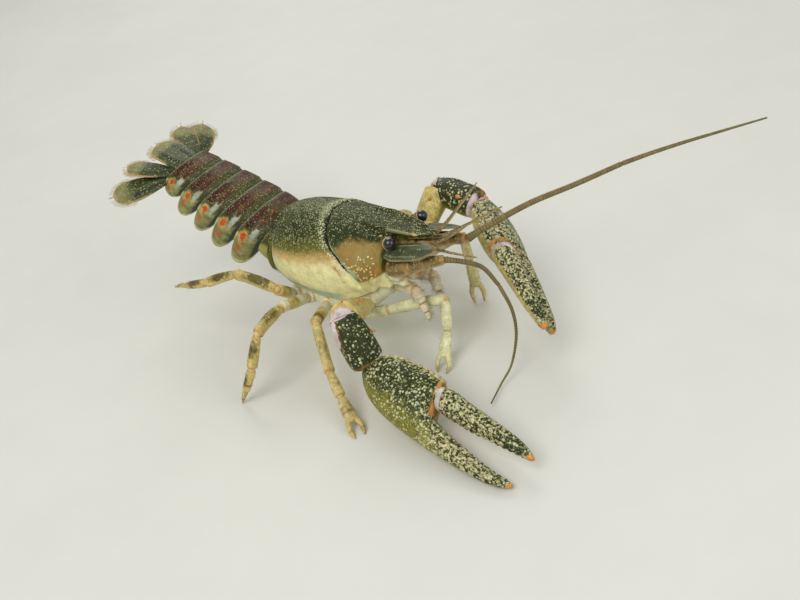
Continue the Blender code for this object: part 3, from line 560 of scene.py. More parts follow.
def shell_angle(points):
    """Angle down the side, share of the height, and distance ahead of the neck groove."""
    x = points[:, 0]
    margin, top, axis, half = shell_line(x)
    rise = np.where(
        points[:, 2] > axis,
        np.clip((points[:, 2] - axis) / (top - axis), 0.0, 1.0) ** (1 / SHELL_VAULT),
        (points[:, 2] - axis) / (axis - margin) * -math.cos(math.radians(MARGIN_ANGLE)),
    )
    degrees = np.degrees(np.arctan2(np.abs(points[:, 1]) / half, rise))
    share = np.clip((points[:, 2] - margin) / (top - margin), 0.0, 1.0)
    return degrees, share, x - smooth(degrees, NECK_ANGLE, NECK_GROOVE)


print("carapace length:", FACE_X, "mm to the face")

# %% [markdown]
# Pressing the grooves in is a matter of adding a small depth to each point: a narrow valley
# along the neck groove, a rim and a valley round the open edges, and two fine lines on the
# back that frame the narrow field between the gill chambers.

# %% Carapace relief and ribs
def shell_relief(x, degrees, rear, front):
    """How far the shell stands out or in, in millimetres."""
    size = np.abs(degrees)
    ahead = x - smooth(size, NECK_ANGLE, NECK_GROOVE)
    groove_fade = fall(size, 104, 116)
    depth = -0.75 * bump(ahead, 0.65) * groove_fade
    depth = depth + 0.28 * bump(ahead + 1.6, 0.9) * groove_fade
    depth = depth + 0.18 * bump(x - rear, 0.5) - 0.32 * bump(x - rear - 1.3, 0.45)
    depth = depth + 0.10 * bump(size - 124, 2.2) - 0.12 * bump(size - 117, 3.0)
    depth = depth - 0.22 * bump(front - x, 0.5) + 0.25 * bump(front - x - 0.9, 0.5)
    field = bump(size * 0.19 - 1.7, 0.32) * step(-ahead, 0.4, 2.5) * step(x - rear, 0.8, 2.0)
    depth = depth - 0.2 * field
    ridge = bump((size - 33.0) * 0.14, 0.55) * step(x, 28.0, 31.5) * fall(x, 35.2, 36.4)
    return depth + 0.5 * ridge


def carapace_ribs():
    """Closed ribs from the tail socket over the body to the face."""
    degrees = np.linspace(-MARGIN_ANGLE, MARGIN_ANGLE, 181)
    size = np.abs(degrees)
    rear = smooth(size, REAR_ANGLE, REAR_EDGE)
    front = smooth(size, EDGE_ANGLE, FRONT_EDGE) - 1.1 * bump(size - 49.0, 11.0)
    across = np.linspace(0.96, -0.96, 25)
    ribs = []
    for share in np.linspace(0.0, 1.0, 190):
        x = rear + (front - rear) * share
        over = shell_point(x, degrees, shell_relief(x, degrees, rear, front))
        low = over[-1]
        under = np.stack((
            np.full(25, max(low[0], SOCKET_X + 0.4 + 0.1 * low[0])),
            low[1] * across,
            low[2] + 0.6 * (1 - np.abs(across)),
        ), axis=-1)
        ribs.append(np.concatenate((over, under, over[:1])))
    return ribs


def drawn_in(rib, scale, x):
    """A rib drawn in towards its middle and laid flat at one place."""
    middle = rib.mean(axis=0)
    flat = middle + (rib - middle) * scale
    flat[:, 0] = x
    return flat


ribs = carapace_ribs()
roll = [drawn_in(ribs[0], 0.02, SOCKET_X), drawn_in(ribs[0], 0.86, SOCKET_X)]
for scale, back in ((0.88, 1.6), (0.905, 0.9), (0.95, 0.2), (0.985, 0.02)):
    lip = drawn_in(ribs[0], scale, 0.0)
    lip[:, 0] = np.minimum(ribs[0][:, 0] + back, SOCKET_X - 0.05)
    roll.append(lip)
brow = drawn_in(ribs[-1], 0.975, FACE_X)
brow[:, 0] = ribs[-1][:, 0] + 0.12
face = [brow, drawn_in(ribs[-1], 0.93, FACE_X - 0.9), drawn_in(ribs[-1], 0.02, FACE_X - 0.7)]
carapace = skin_over("carapace_shell", roll + ribs + face)
print("carapace skin:", len(carapace.data.polygons), "faces")

# %% [markdown]
# The rostrum is a shallow trough with raised rims. Ten points round each rib are enough,
# because a subdivision surface rounds it off afterwards.

# %% Rostrum
def rostrum_ribs():
    ribs = []
    for x in np.linspace(ROSTRUM_X[0], ROSTRUM_X[-1], 26):
        half = smooth(x, ROSTRUM_X, ROSTRUM_HALF)
        top = smooth(x, ROSTRUM_X, ROSTRUM_TOP)
        depth = smooth(x, ROSTRUM_X, ROSTRUM_DEPTH)
        rim = 0.16 * half
        dish = 0.42 * min(depth, 1.6) * min(half / 2.5, 1.0)
        rise = 0.28 * min(half / 2.5, 1.0)
        points = [
            (-half, top + rise), (-half + rim, top + rise), (-0.6 * half, top - dish),
            (0.0, top - dish * 0.9), (0.6 * half, top - dish), (half - rim, top + rise),
            (half, top + rise), (0.86 * half, top - 0.55 * depth), (0.0, top - depth),
            (-0.86 * half, top - 0.55 * depth),
        ]
        points.append(points[0])
        ribs.append([(x, y, z) for y, z in points])
    first = np.array(ribs[0])
    last = np.array(ribs[-1])
    return [drawn_in(first, 0.02, first[0, 0])] + ribs + [drawn_in(last, 0.02, last[0, 0] + 0.15)]


rostrum = skin_over("rostrum", rostrum_ribs())
pick(rostrum)
rounding = rostrum.modifiers.new("rounding", "SUBSURF")
rounding.levels = 2
rounding.render_levels = 2
bpy.ops.object.modifier_apply(modifier="rounding")
carapace = join("carapace_shell", [carapace, rostrum])
melt(carapace, 0.22, 2)
print("carapace with rostrum:", len(carapace.data.polygons), "faces")

# %% [markdown]
# ## Spines and tubercles
# One thorn is modelled: a disc is drawn out five times, each time a little narrower
# and further forward, so that it curves. A low dome serves as the tubercle. Both are then
# planted wherever the animal has them, each copy turned and sized for its place.

# %% Thorn and dome
def drawn_disc(name, sides, steps):
    """A disc of unit width drawn out step by step: forward shift, rise and new scale."""
    deselect()
    bpy.ops.mesh.primitive_circle_add(vertices=sides, radius=0.5, fill_type="NGON")
    piece = bpy.context.object
    piece.name = name
    with editing(piece):
        for shift, rise, scale in steps:
            bpy.ops.mesh.extrude_region_move(TRANSFORM_OT_translate={"value": (shift, 0.0, rise)})
            bpy.ops.transform.resize(value=(scale, scale, 1.0))
        bpy.ops.mesh.merge(type="CENTER")
        bpy.ops.mesh.select_all(action="SELECT")
        bpy.ops.mesh.normals_make_consistent(inside=False)
    bpy.ops.object.shade_smooth()
    return piece


THORN_STEPS = ((0.0, 0.3, 0.8), (0.02, 0.2, 0.74), (0.04, 0.2, 0.66), (0.06, 0.16, 0.55),
               (0.05, 0.1, 0.4), (0.02, 0.05, 0.3))
DOME_STEPS = ((0.0, 0.4, 0.94), (0.0, 0.25, 0.8), (0.0, 0.12, 0.6), (0.0, 0.05, 0.35))
BRISTLE_STEPS = ((0.0, 0.3, 0.85), (0.04, 0.35, 0.7), (0.1, 0.35, 0.3))
thorn = drawn_disc("thorn", 10, THORN_STEPS)
dome = drawn_disc("dome", 10, DOME_STEPS)
bristle = drawn_disc("bristle", 3, BRISTLE_STEPS)


def plant(name, master, rows):
    """Copies of a small master as one mesh. A row is root, direction, length, width and lean."""
    points = pull(master.data.vertices, "co", 3)
    faces = [tuple(face.vertices) for face in master.data.polygons]
    all_points = []
    all_faces = []
    for number, (root, direction, length, width, lean) in enumerate(rows):
        up = Vector(direction).normalized()
        side = Vector(lean) - up * Vector(lean).dot(up)
        side = side.normalized() if side.length > 1e-6 else up.orthogonal().normalized()
        axes = np.array((side, up.cross(side), up))
        scaled = points * (width, width, length)
        all_points.append(scaled @ axes + np.asarray(root, float))
        all_faces += [[index + number * len(points) for index in face] for face in faces]
    mesh = bpy.data.meshes.new(name)
    joined = (np.concatenate(all_points) - MIDDLE) * MM
    mesh.from_pydata([tuple(point) for point in joined], [], all_faces)
    mesh.update()
    piece = bpy.data.objects.new(name, mesh)
    bpy.context.scene.collection.objects.link(piece)
    pick(piece)
    bpy.ops.object.shade_smooth()
    return piece


def on_shell(x, degrees, sink=0.15):
    """A root on the carapace and the way it points there, outwards."""
    root = shell_point(np.array([x]), np.array([degrees]), np.array([-sink]))[0]
    outward = root - np.array((x - 3.0, 0.0, SHELL_MIDDLE))
    return root, unit(outward)


print("thorn, dome and bristle are modelled")

# %% [markdown]
# The cheek in front of the neck groove is what names the animal: it carries a patch of short
# forward-pointing spines among many low, pale tubercles. A few spines stand behind the
# groove, one behind each eye, and one on each side of the rostrum.

# %% Spines of the carapace
CHEEK_SPINES = (
    (27.8, 78, 0.9), (29.2, 84, 1.2), (30.6, 79, 1.1), (31.9, 87, 1.1), (30.0, 92, 1.2),
    (30.4, 99, 0.8), (33.0, 79, 0.8), (33.4, 92, 0.9), (32.0, 98, 0.9), (31.6, 105, 0.7),
    (23.4, 76, 1.2), (24.8, 88, 1.0), (25.4, 98, 0.7), (21.4, 66, 0.7), (34.6, 31, 1.5),
)
TUBERCLES = 46
GROOVE_TUBERCLES = 12


def low_dome(side, x, degrees, smallest, largest):
    """A tubercle's row, for one place on the carapace."""
    root, outward = on_shell(x, side * degrees, 0.08)
    size = random.uniform(smallest, largest)
    return root, outward, size * 0.5, size, (1, 0, 0)


def carapace_spines():
    rows = []
    domes = []
    for side in SIDES:
        for x, degrees, length in CHEEK_SPINES:
            root, outward = on_shell(x, side * degrees)
            length *= random.uniform(0.9, 1.1)
            way = outward + np.array((0.75, 0.0, 0.1))
            rows.append((root, way, length * 1.15, 0.62 + 0.18 * length, (1, 0, 0)))
        for _ in range(TUBERCLES):
            x = random.uniform(26.5, 35.2)
            degrees = random.uniform(62, 108)
            groove = smooth(degrees, NECK_ANGLE, NECK_GROOVE)
            if x - groove < 1.0:
                x = groove - random.uniform(1.0, 3.4)
            domes.append(low_dome(side, x, degrees, 0.28, 0.62))
        for _ in range(GROOVE_TUBERCLES):
            degrees = random.uniform(72, 92)
            x = smooth(degrees, NECK_ANGLE, NECK_GROOVE) - random.uniform(1.0, 2.4)
            domes.append(low_dome(side, x, degrees, 0.5, 0.85))
    for side in SIDES:
        rows.append(((42.7, side * 2.35, 33.2), (1.0, side * 0.42, 0.25), 1.9, 0.85, (1, 0, 0)))
    return plant("thorns", thorn, rows), plant("domes", dome, domes)


shell_thorns, shell_domes = carapace_spines()
print("spines and tubercles on the carapace:", len(shell_thorns.data.polygons) // 60)

# %% [markdown]
# ## Painting the carapace
# The back is blackish olive under a dense dust of fine cream dots. It fades through olive
# brown to a cream flank, and the margin is a cool grey green. The cheek is tan with orange
# patches. Each mark below is a plain function of where a point lies, the same on both sides.

# %% Carapace marks
def mark_carapace(piece):
    points = places(piece)
    degrees, share, ahead = shell_angle(points)
    x = points[:, 0]
    rear = smooth(degrees, REAR_ANGLE, REAR_EDGE)
    behind = fall(ahead, -0.6, 0.6)
    beak = step(x, 35.0, 37.0) * step(points[:, 2], 31.5, 32.4)
    before_rim = step(x - rear, 1.0, 1.7)
    level = share - 0.09 * step(x, 8.0, 23.0) * behind
    mark(piece, brown=fall(level, 0.55, 0.90))
    warm = fall(level, 0.50, 0.70) * behind
    flank = fall(level, 0.36, 0.62) * behind
    low_cheek = fall(share, 0.20, 0.32) * (1.0 - behind)
    mark(piece, warm=warm * before_rim,
         cream=np.maximum(flank, low_cheek) * before_rim)
    limit = 0.74 + 0.12 * step(x, 23.0, 27.5)
    cheek = step(ahead, 0.6, 2.2) * fall(share - limit, -0.13, 0.09)
    cheek = cheek * step(share, 0.18, 0.32) * fall(x, 35.4, 36.6) * (1 - beak)
    mark(piece, tan=cheek)
    orange = 0.75 * bump(x - 34.9, 1.2) * bump(share - 0.36, 0.09)
    orange = orange + 0.7 * bump(ahead + 1.7, 1.0) * bump(degrees - 80.0, 10.0)
    orange = orange + 0.3 * bump(x - 15.5, 2.6) * bump(share - 0.52, 0.05)
    orange = orange + 0.45 * bump(x - 29.0, 2.2) * bump(share - 0.68, 0.07)
    mark(piece, orange=orange * fall(x, 35.9, 36.3))
    teal = bump(degrees - 119.5, 5.0) * fall(x, 19.0, 26.0)
    low_down = step(degrees, 60, 88)
    before_groove = bump((ahead - 0.7 - 0.5 * low_down) / (0.6 + 0.7 * low_down), 1.0)
    teal = np.maximum(teal, 0.85 * before_groove * step(degrees, 40, 56)
                      * fall(degrees, 92, 102))
    teal = np.maximum(teal, 0.6 * bump(x - rear - 1.9, 0.5) * step(degrees, 35, 50))
    teal = np.maximum(teal, 0.24 * bump(x - 31.0, 3.6) * bump(share - 0.64, 0.16) * cheek)
    mark(piece, teal=teal,
         light=0.45 * bump(degrees - 121.5, 1.5) * fall(x, 18.0, 24.0))
    lines = bump(ahead, 0.40) * (1 - 0.75 * step(degrees, 78, 94)) * fall(degrees, 96, 108)
    lines = np.maximum(lines, bump(degrees - 125, 1.2) * fall(x, 30.0, 33.0))
    lines = np.maximum(lines, bump(x - rear - 1.4, 0.26) * fall(degrees, 104, 118))
    lines = np.maximum(lines, 0.7 * bump(x - rear - 0.5, 0.2) * fall(degrees, 75, 95))
    mark(piece, line=lines)
    back = step(level, 0.54, 0.82) * (1 - cheek)
    on_head = step(ahead, 0.5, 3.0) * fall(share, 0.90, 0.97) * (1 - beak)
    dusty = back * (1.0 - 0.8 * on_head) + 0.3 * step(level, 0.48, 0.60) * (1 - cheek)
    mark(piece, dust=np.clip(dusty * (1 - bump(ahead, 0.5)), 0, 1))
    # A pale grey haze along the top of the crest and on the raised bank behind the neck groove:
    # pale dust with a painted sheen where the shell stands highest.
    crest = (0.4 - 0.25 * step(ahead, 0.5, 3.0)) * step(share, 0.93, 0.995) * (1 - beak)
    mark(piece, haze=crest + 0.4 * bump(ahead + 1.6, 1.1) * step(share, 0.6, 0.8),
         dust_edge=bump(ahead + 1.1, 0.9) * fall(degrees, 80, 94))
    rims = beak * step(np.abs(points[:, 1]) / np.interp(x, ROSTRUM_X, ROSTRUM_HALF), 0.82, 0.94)
    mark(piece, rim=rims * step(points[:, 2], 32.6, 33.2))


mark_carapace(carapace)
carapace_finish = finish(
    "carapace_shell_finish", (42, 50, 24),
    layers=(
        ("brown", (102, 102, 38), 900, 0.9, 0.50),
        ("warm", (196, 160, 98), 1500, 0.9, 0.45),
        ("cream", (236, 230, 172), 700, 0.4, 0.50),
        ("tan", (152, 128, 70), 700, 0.9, 0.35),
        ("orange", (196, 136, 66), 800, 0.7, 0.45),
        ("teal", (172, 188, 162), 700, 0.3, 0.45),
        ("light", (196, 204, 176), 900, 0.2, 0.40),
        ("rim", (158, 152, 110), 1500, 0.4, 0.30),
        # pale dust with a painted sheen on the crest and on the bank behind the neck groove
        ("haze", (134, 138, 98), 3000, 2.0, 0.16),
        ("line", (26, 30, 22), 1500, 0.2, 0.30),
    ),
    dots=(
        ("dust", (186, 186, 140), 2200, 0.33, 0.75),
        ("dust", (128, 132, 84), 3000, 0.38, 0.5),
        ("dust_edge", (210, 210, 172), 2300, 0.42, 0.85),
    ),
    roughness=0.52, coat=0.0, relief=0.10, mottle=0.24, gloss=0.14,
)
wear(carapace, carapace_finish)
thorn_finish = finish("thorn_finish", (206, 176, 112), mottle=0.4, mottle_scale=900)
dome_finish = finish("dome_finish", (226, 208, 146), mottle=0.25, mottle_scale=900)
wear(shell_thorns, thorn_finish)
wear(shell_domes, dome_finish)
for piece in (shell_thorns, shell_domes):
    piece.name = "carapace_" + piece.name
    piece.data.name = piece.name
    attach(piece, "root")
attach(carapace, "root")
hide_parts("carapace")
print("carapace is painted")

# %% [markdown]
# ## The tail
# Each of the six tail rings is one sheet of shell: it arches over the back and ends on each
# side in a rounded lobe. The rear edge of each ring lies over the front of the next, like
# roof tiles, so each sheet reaches a little under the one before it.

# %% Tail measures
TAIL_RISE = math.radians(22.0)
TAIL_BACK = np.array((-math.cos(TAIL_RISE), 0.0, math.sin(TAIL_RISE)))
TAIL_UP = np.array((math.sin(TAIL_RISE), 0.0, math.cos(TAIL_RISE)))
TAIL_ROOT = np.array((2.7, 0.0, 22.6))
TAIL_LENGTHS = (7.0, 7.2, 7.0, 6.8, 6.7, 6.8)
TAIL_JOINTS = np.concatenate(((0.0,), np.cumsum(TAIL_LENGTHS)))
TAIL_HALF = (7.4, 8.2, 8.9, 8.6, 8.1, 7.5, 6.6)
TAIL_TOP = (4.8, 5.2, 5.6, 5.4, 5.2, 4.9, 4.5)
TAIL_SWEEP = (0.1, 0.38, 0.46, 0.52, 0.56, 0.6, 0.6)
TAIL_BELLY = (4.2, 4.1, 3.8, 3.6, 3.4, 3.1, 2.6)
LOBE_DEPTH = (1.6, 9.4, 8.4, 7.5, 6.6, 3.6)
LOBE_SHARES = (0.0, 0.12, 0.3, 0.52, 0.75, 0.9, 1.0)
LOBE_OUTLINE = (0.12, 0.62, 0.93, 1.02, 0.9, 0.6, 0.15)
SHEET_THICKNESS = 0.4


def tail_point(along, y, z, front_share=None):
    """A place on the tail: distance along it, across it and up from its axis."""
    sweep = smooth(along, TAIL_JOINTS, TAIL_SWEEP)
    place = along - z * sweep
    if front_share is not None:
        place = along + z * (math.tan(TAIL_RISE) * (1 - front_share) - front_share * sweep)
    shifted = TAIL_ROOT + place[..., None] * TAIL_BACK + z[..., None] * TAIL_UP
    shifted[..., 1] += y
    return shifted


def ring_sheet(number):
    """The sheet of one tail ring, from one lobe over the back to the other."""
    start = TAIL_JOINTS[number]
    length = TAIL_LENGTHS[number]
    down = np.linspace(-1.0, 1.0, 97)
    arch_part = 0.56
    ribs = []
    downs = []
    shares = []
    for share in np.linspace(-0.10 if number else 0.0, 1.03, 34):
        inside = float(np.clip(share, 0.0, 1.0))
        along = start + length * share
        tuck = 0.925 + 0.075 * step(share, 0.02, 0.34)
        swell = 1.0 + 0.018 * math.sin(math.pi * inside) - 0.02 * bump(share - 0.24, 0.05)
        scale = tuck * swell
        half = smooth(along, TAIL_JOINTS, TAIL_HALF) * scale
        top = smooth(along, TAIL_JOINTS, TAIL_TOP) * scale
        belly = smooth(along, TAIL_JOINTS, TAIL_BELLY)
        lobe = LOBE_DEPTH[number] * smooth(inside, LOBE_SHARES, LOBE_OUTLINE)
        size = np.abs(down)
        angle = np.clip(size / arch_part, 0.0, 1.0) * math.pi / 2
        lower = np.clip((size - arch_part) / (1 - arch_part), 0.0, 1.0)
        z = np.where(size <= arch_part, top * np.cos(angle), -lower * (belly + lobe))
        bulge = 0.35 * np.sin(np.pi * np.clip(lower * 1.1 - 0.1, 0, 1)) * math.sin(math.pi * inside)
        y = np.sign(down) * (half * np.sin(angle) * (1 - 0.07 * lower**2) + bulge)
        along_here = np.full_like(down, along)
        front = inside if number == 0 else None
        ribs.append(tail_point(along_here, y, z, front))
        downs.append(size)
        shares.append(np.full_like(down, share))
    return skin_over(f"tail_ring_{number + 1}", ribs, down=np.array(downs), share=np.array(shares))


def thicken(piece, thickness):
    """Give a sheet its thickness and round its cut edges."""
    pick(piece)
    wall = piece.modifiers.new("wall", "SOLIDIFY")
    wall.thickness = thickness * MM
    wall.offset = -1.0
    wall.use_even_offset = True
    bpy.ops.object.modifier_apply(modifier="wall")
    close_up(piece)


def face_out(piece, middle):
    """Turn an open sheet so that its faces look away from a middle line."""
    mesh = piece.data
    outward = 0.0
    for face in mesh.polygons:
        outward += face.normal.dot(face.center - at(middle)) * face.area
    if outward < 0:
        with editing(piece):
            bpy.ops.mesh.flip_normals()


tail_rings = []
for number in range(6):
    ring = ring_sheet(number)
    middle = TAIL_ROOT + TAIL_BACK * (TAIL_JOINTS[number] + 3.0)
    face_out(ring, middle)
    thicken(ring, SHEET_THICKNESS)
    tail_rings.append(ring)
print("tail rings:", [len(ring.data.polygons) for ring in tail_rings])

# %% [markdown]
# Under the sheets runs the soft belly of the tail, ribbed where the rings join. It is a
# simple closed tube, a little smaller than the sheets.

# %% Tail belly
def tail_belly():
    ribs = []
    turn = full_turn(41)
    stations = np.linspace(0.3, TAIL_JOINTS[-1] - 0.3, 90)
    for along in stations:
        ripple = 1.0 + 0.035 * math.cos(2 * math.pi * (along - 3.0) / 6.8)
        half = (smooth(along, TAIL_JOINTS, TAIL_HALF) - 1.2) * ripple
        belly = smooth(along, TAIL_JOINTS, TAIL_BELLY) * ripple
        top = smooth(along, TAIL_JOINTS, TAIL_TOP) - 1.3
        z = np.where(np.sin(turn) > 0, top * np.sin(turn), belly * np.sin(turn))
        ribs.append(tail_point(np.full_like(turn, along), half * np.cos(turn), z))
    return closed(ribs)


belly = skin_over("tail_belly", tail_belly())
print("tail belly:", len(belly.data.polygons), "faces")

# %% [markdown]
# The swimmerets hang in pairs under the second to fifth rings. One is modelled as a flat,
# two-bladed leaf and copied down the tail, smaller towards its end.

# %% Swimmerets
SWIMMERET_OFFSET = 2.9
SWIMMERET_LENGTHS = (0.0, 6.6, 6.4, 6.0, 5.4)


def leaf_ribs(root, way, across, length, width, thickness):
    """A flat pointed leaf with a rounded section."""
    root = np.asarray(root, float)
    way = unit(np.asarray(way, float))
    across = np.asarray(across, float)
    across = unit(across - way * across.dot(way))
    over = np.cross(way, across)
    turn = full_turn(17)
    ribs = []
    for share in np.linspace(0.0, 1.0, 15):
        wide = width / 2 * max(math.sin(math.pi * (0.12 + 0.88 * share)) ** 0.7, 0.001)
        thick = thickness / 2 * max(1 - share**3, 0.02) if share < 1 else 0.0005
        middle = root + way * length * share
        ribs.append(middle + np.cos(turn)[:, None] * across * wide
                    + np.sin(turn)[:, None] * over * thick)
    return [np.tile(root, (17, 1))] + ribs + [np.tile(ribs[-1].mean(axis=0), (17, 1))]


swimmerets = []
for number in range(1, 5):
    along = float(TAIL_JOINTS[number] + TAIL_LENGTHS[number] * 0.5)
    depth = smooth(along, TAIL_JOINTS, TAIL_BELLY)
    for side in (-1, 1):
        root = tail_point(np.array([along]), np.array([side * SWIMMERET_OFFSET]),
                          np.array([-depth + 0.5]))[0]
        for fork, spread in ((-1, -0.12), (1, 0.22)):
            way = -TAIL_UP + TAIL_BACK * 0.35 + np.array((0.0, side * spread, 0.0))
            leaf = leaf_ribs(root + np.array((0.0, side * 0.5 * fork, 0.0)), way, (0, 1, 0),
                             SWIMMERET_LENGTHS[number] * (1.0 if fork < 0 else 0.9), 1.7, 0.5)
            swimmerets.append(skin_over("swimmeret", leaf))
swimmerets = join("swimmerets", swimmerets)
print("swimmerets:", len(swimmerets.data.polygons), "faces")

# %% [markdown]
# ## The tail fan
# The middle plate and the two blades on each side are thin, with a raised midrib and a
# rounded free edge. They share one way of making: an oval section drawn along the blade,
# wide and thin, with the midrib standing up from its upper side.

# %% Tail fan
INNER_BLADE = {-1: (-12.0, -6.0, 3.0), 1: (-11.0, 7.0, 5.0)}
OUTER_BLADE = {-1: (-8.8, -12.4, 0.0), 1: (-8.4, 11.6, 4.0)}


def fan_root(side, across, height):
    """A place just behind the last tail ring."""
    slant = TAIL_UP - TAIL_BACK * TAIL_SWEEP[-1]
    behind = unit(TAIL_BACK + TAIL_UP * TAIL_SWEEP[-1]) * GAP
    end = TAIL_ROOT + TAIL_BACK * TAIL_JOINTS[-1]
    return end + behind + slant * height + np.array((0.0, side * across, 0.0))


def fan_blade(name, root, tip, sideways, halves, thickness, midribs=(0.0,), droop=0.4):
    """A thin blade from root to tip with raised midribs and a rounded edge."""
    root = np.asarray(root, float)
    forward = np.asarray(tip, float) - root
    length = np.linalg.norm(forward)
    forward /= length
    side = np.asarray(sideways, float)
    side = unit(side - forward * side.dot(forward))
    over = np.cross(forward, side)
    over = over if over[2] > 0 else -over
    shares, widths = zip(*halves)
    across = np.linspace(-1.0, 1.0, 41)
    ribs = []
    downs = []
    edges = []
    for share in np.concatenate((np.linspace(0, 0.72, 22), np.linspace(0.74, 1.0, 20))):
        round_off = math.sqrt(max(1 - (max(share - 0.68, 0) / 0.32) ** 2.6, 0.0))
        half = smooth(share, shares, widths) * max(round_off, 0.02)
        rim = np.sqrt(np.clip(1 - np.abs(across) ** 6, 0.0, 1.0))
        thick = thickness / 2 * (1 - 0.55 * share) * np.maximum(rim, 0.02)
        ridge = sum(0.28 * bump((across - place) * half, 0.38) for place in midribs)
        ridge = ridge * (1 - share * 0.7)
        middle = root + forward * length * share - over * droop * (across**2)[:, None]
        top = middle + side * (across * half)[:, None] + over * (thick + ridge)[:, None]
        low = middle + side * (across * half)[:, None] - over * thick[:, None]
        ribs.append(np.concatenate((top, low[::-1], top[:1])))
        edge = np.concatenate((np.abs(across), np.abs(across[::-1]), np.abs(across[:1])))
        edges.append(edge)
        downs.append(np.full_like(edge, share))
    piece = skin_over(name, ribs, edge=np.array(edges), share=np.array(downs))
    with editing(piece):
        bpy.ops.mesh.select_all(action="DESELECT")
        bpy.ops.mesh.select_non_manifold()
        bpy.ops.mesh.edge_face_add()
        bpy.ops.mesh.select_all(action="SELECT")
        bpy.ops.mesh.normals_make_consistent(inside=False)
    return piece


TELSON_HALVES = ((0.0, 3.4), (0.12, 4.2), (0.55, 4.6), (0.85, 4.5), (1.0, 4.2))
INNER_HALVES = ((0.0, 1.2), (0.2, 2.4), (0.6, 3.3), (0.85, 3.3), (1.0, 3.0))
OUTER_HALVES = ((0.0, 1.2), (0.2, 2.4), (0.6, 3.9), (0.85, 3.9), (1.0, 3.6))
telson_root = fan_root(1, 0.0, 1.7)
telson_tip = telson_root + TAIL_BACK * 11.4 - TAIL_UP * 0.6
fan = {"telson": fan_blade("telson_plate", telson_root, telson_tip, (0, 1, 0), TELSON_HALVES, 1.0,
                           (-0.45, 0.45))}
for side, word in SIDES.items():
    root = fan_root(side, 3.4, -0.5)
    fan["uropod_inner_" + word] = fan_blade(
        "fan_inner_" + word, root, root + INNER_BLADE[side], (0, 1, 0), INNER_HALVES, 0.8
    )
    root = fan_root(side, 5.2, -2.4)
    fan["uropod_outer_" + word] = fan_blade(
        "fan_outer_" + word, root, root + OUTER_BLADE[side], (0.72, 0.53 * side, -0.42),
        OUTER_HALVES, 0.8,
    )
print("fan blades:", sorted(fan))

# %% [markdown]
# ## Limbs
# A leg is a row of hard tubes joined by soft skin. Each tube is narrow where it leaves the
# joint before it, fullest in the middle, and ends in a small flared cuff. One function draws
# such a tube along a line or a bent path: it keeps its section square to the path, rounds
# both ends, and lets a little noise into the outline so that no two tubes look turned.

# %% One tube of a limb
def curve_through(path, parts):
    """Points on a smooth curve through the given ones."""
    path = np.asarray(path, float)
    padded = np.concatenate(([path[0] * 2 - path[1]], path, [path[-1] * 2 - path[-2]]))
    points = []
    for k in range(1, len(padded) - 2):
        a, b, c, d = padded[k - 1:k + 3]
        for t in np.arange(parts) / parts:
            points.append(0.5 * (2 * b + (c - a) * t + (2 * a - 5 * b + 4 * c - d) * t**2
                                 + (3 * b - a - 3 * c + d) * t**3))
    points.append(path[-1])
    return np.array(points)


def walk(path, shares):
    """Points and directions at shares of a path's length."""
    path = np.asarray(path, float)
    lengths = np.concatenate(((0.0,), np.cumsum(np.linalg.norm(np.diff(path, axis=0), axis=1))))
    wanted = np.asarray(shares) * lengths[-1]
    near, points, far = (
        np.stack([np.interp(wanted + shift, lengths, path[:, n]) for n in range(3)], axis=-1)
        for shift in (-0.3, 0.0, 0.3)
    )
    ways = far - near
    return points, ways / np.linalg.norm(ways, axis=1, keepdims=True), lengths[-1]


def tube(name, path, stations, sides=28, steps=44, ends=(0.5, 0.5), lump=0.03, ripple=None,
         **marks):
    """A closed tube along a path. A station is its share, half width and half height, or one
    radius for both."""
    nose = np.array([0.0, 0.06, 0.25, 0.55, 1.0])
    shares = np.linspace(0.0, 1.0, steps + 1)
    length = walk(path, shares)[2]
    shares = np.concatenate((nose[:-1] * ends[0] / length, shares[shares > ends[0] / length]))
    shares = np.concatenate((shares[shares < 1 - ends[1] / length],
                             1 - nose[::-1] * ends[1] / length))
    points, ways, length = walk(path, shares)
    table = np.array(stations, float)
    wide = smooth(shares, table[:, 0], table[:, 1])
    tall = smooth(shares, table[:, 0], table[:, -1])
    turn = full_turn(sides + 1)
    over = Vector((0, 0, 1))
    before = Vector(ways[0])
    ribs = []
    tops = []
    for k, (point, way) in enumerate(zip(points, ways)):
        way = Vector(way)
        over = before.rotation_difference(way) @ over
        over = (over - way * over.dot(way)).normalized()
        before = way
        aside = way.cross(over)
        start = min(shares[k] * length / max(ends[0], 1e-6), 1.0)
        end = min((1 - shares[k]) * length / max(ends[1], 1e-6), 1.0)
        scale = max(math.sqrt(max(1 - (1 - start) ** 2, 0.0))
                    * math.sqrt(max(1 - (1 - end) ** 2, 0.0)), 0.001)
        if ripple:
            scale *= ripple(shares[k] * length)
        uneven = 1 + lump * np.array([
            noise.noise(Vector((math.cos(a), math.sin(a), 0.0)) * 0.9
                        + Vector(point) * 0.35) for a in turn[:-1]] + [0.0])
        uneven[-1] = uneven[0]
        ribs.append(point + (np.cos(turn) * wide[k] * scale * uneven)[:, None] * np.array(aside)
                    + (np.sin(turn) * tall[k] * scale * uneven)[:, None] * np.array(over))
        tops.append(0.5 + 0.5 * np.sin(turn))
    rows = np.repeat(shares[:, None], sides + 1, axis=1)
    piece = skin_over(name, ribs, share=rows, top=np.array(tops))
    mark(piece, **{key: np.full(len(piece.data.vertices), value) for key, value in marks.items()})
    return piece


def soft_joint(name, place, radius, way, flat=0.75):
    """The bulging soft skin between two tubes."""
    deselect()
    bpy.ops.mesh.primitive_uv_sphere_add(segments=24, ring_count=14, radius=radius * MM)
    piece = bpy.context.object
    piece.name = name
    piece.data.transform(turned(place, way) @ Matrix.Diagonal((1, 1, flat, 1)))
    mark(piece, soft=np.ones(len(piece.data.vertices)))
    bpy.ops.object.shade_smooth()
    return piece


print("a tube needs a path and a few stations")

# %% [markdown]
# The eight walking legs stand on the same joints as their solids. The first two pairs end in
# small pincers, the last two in a single claw. Each leg is made of five tubes.

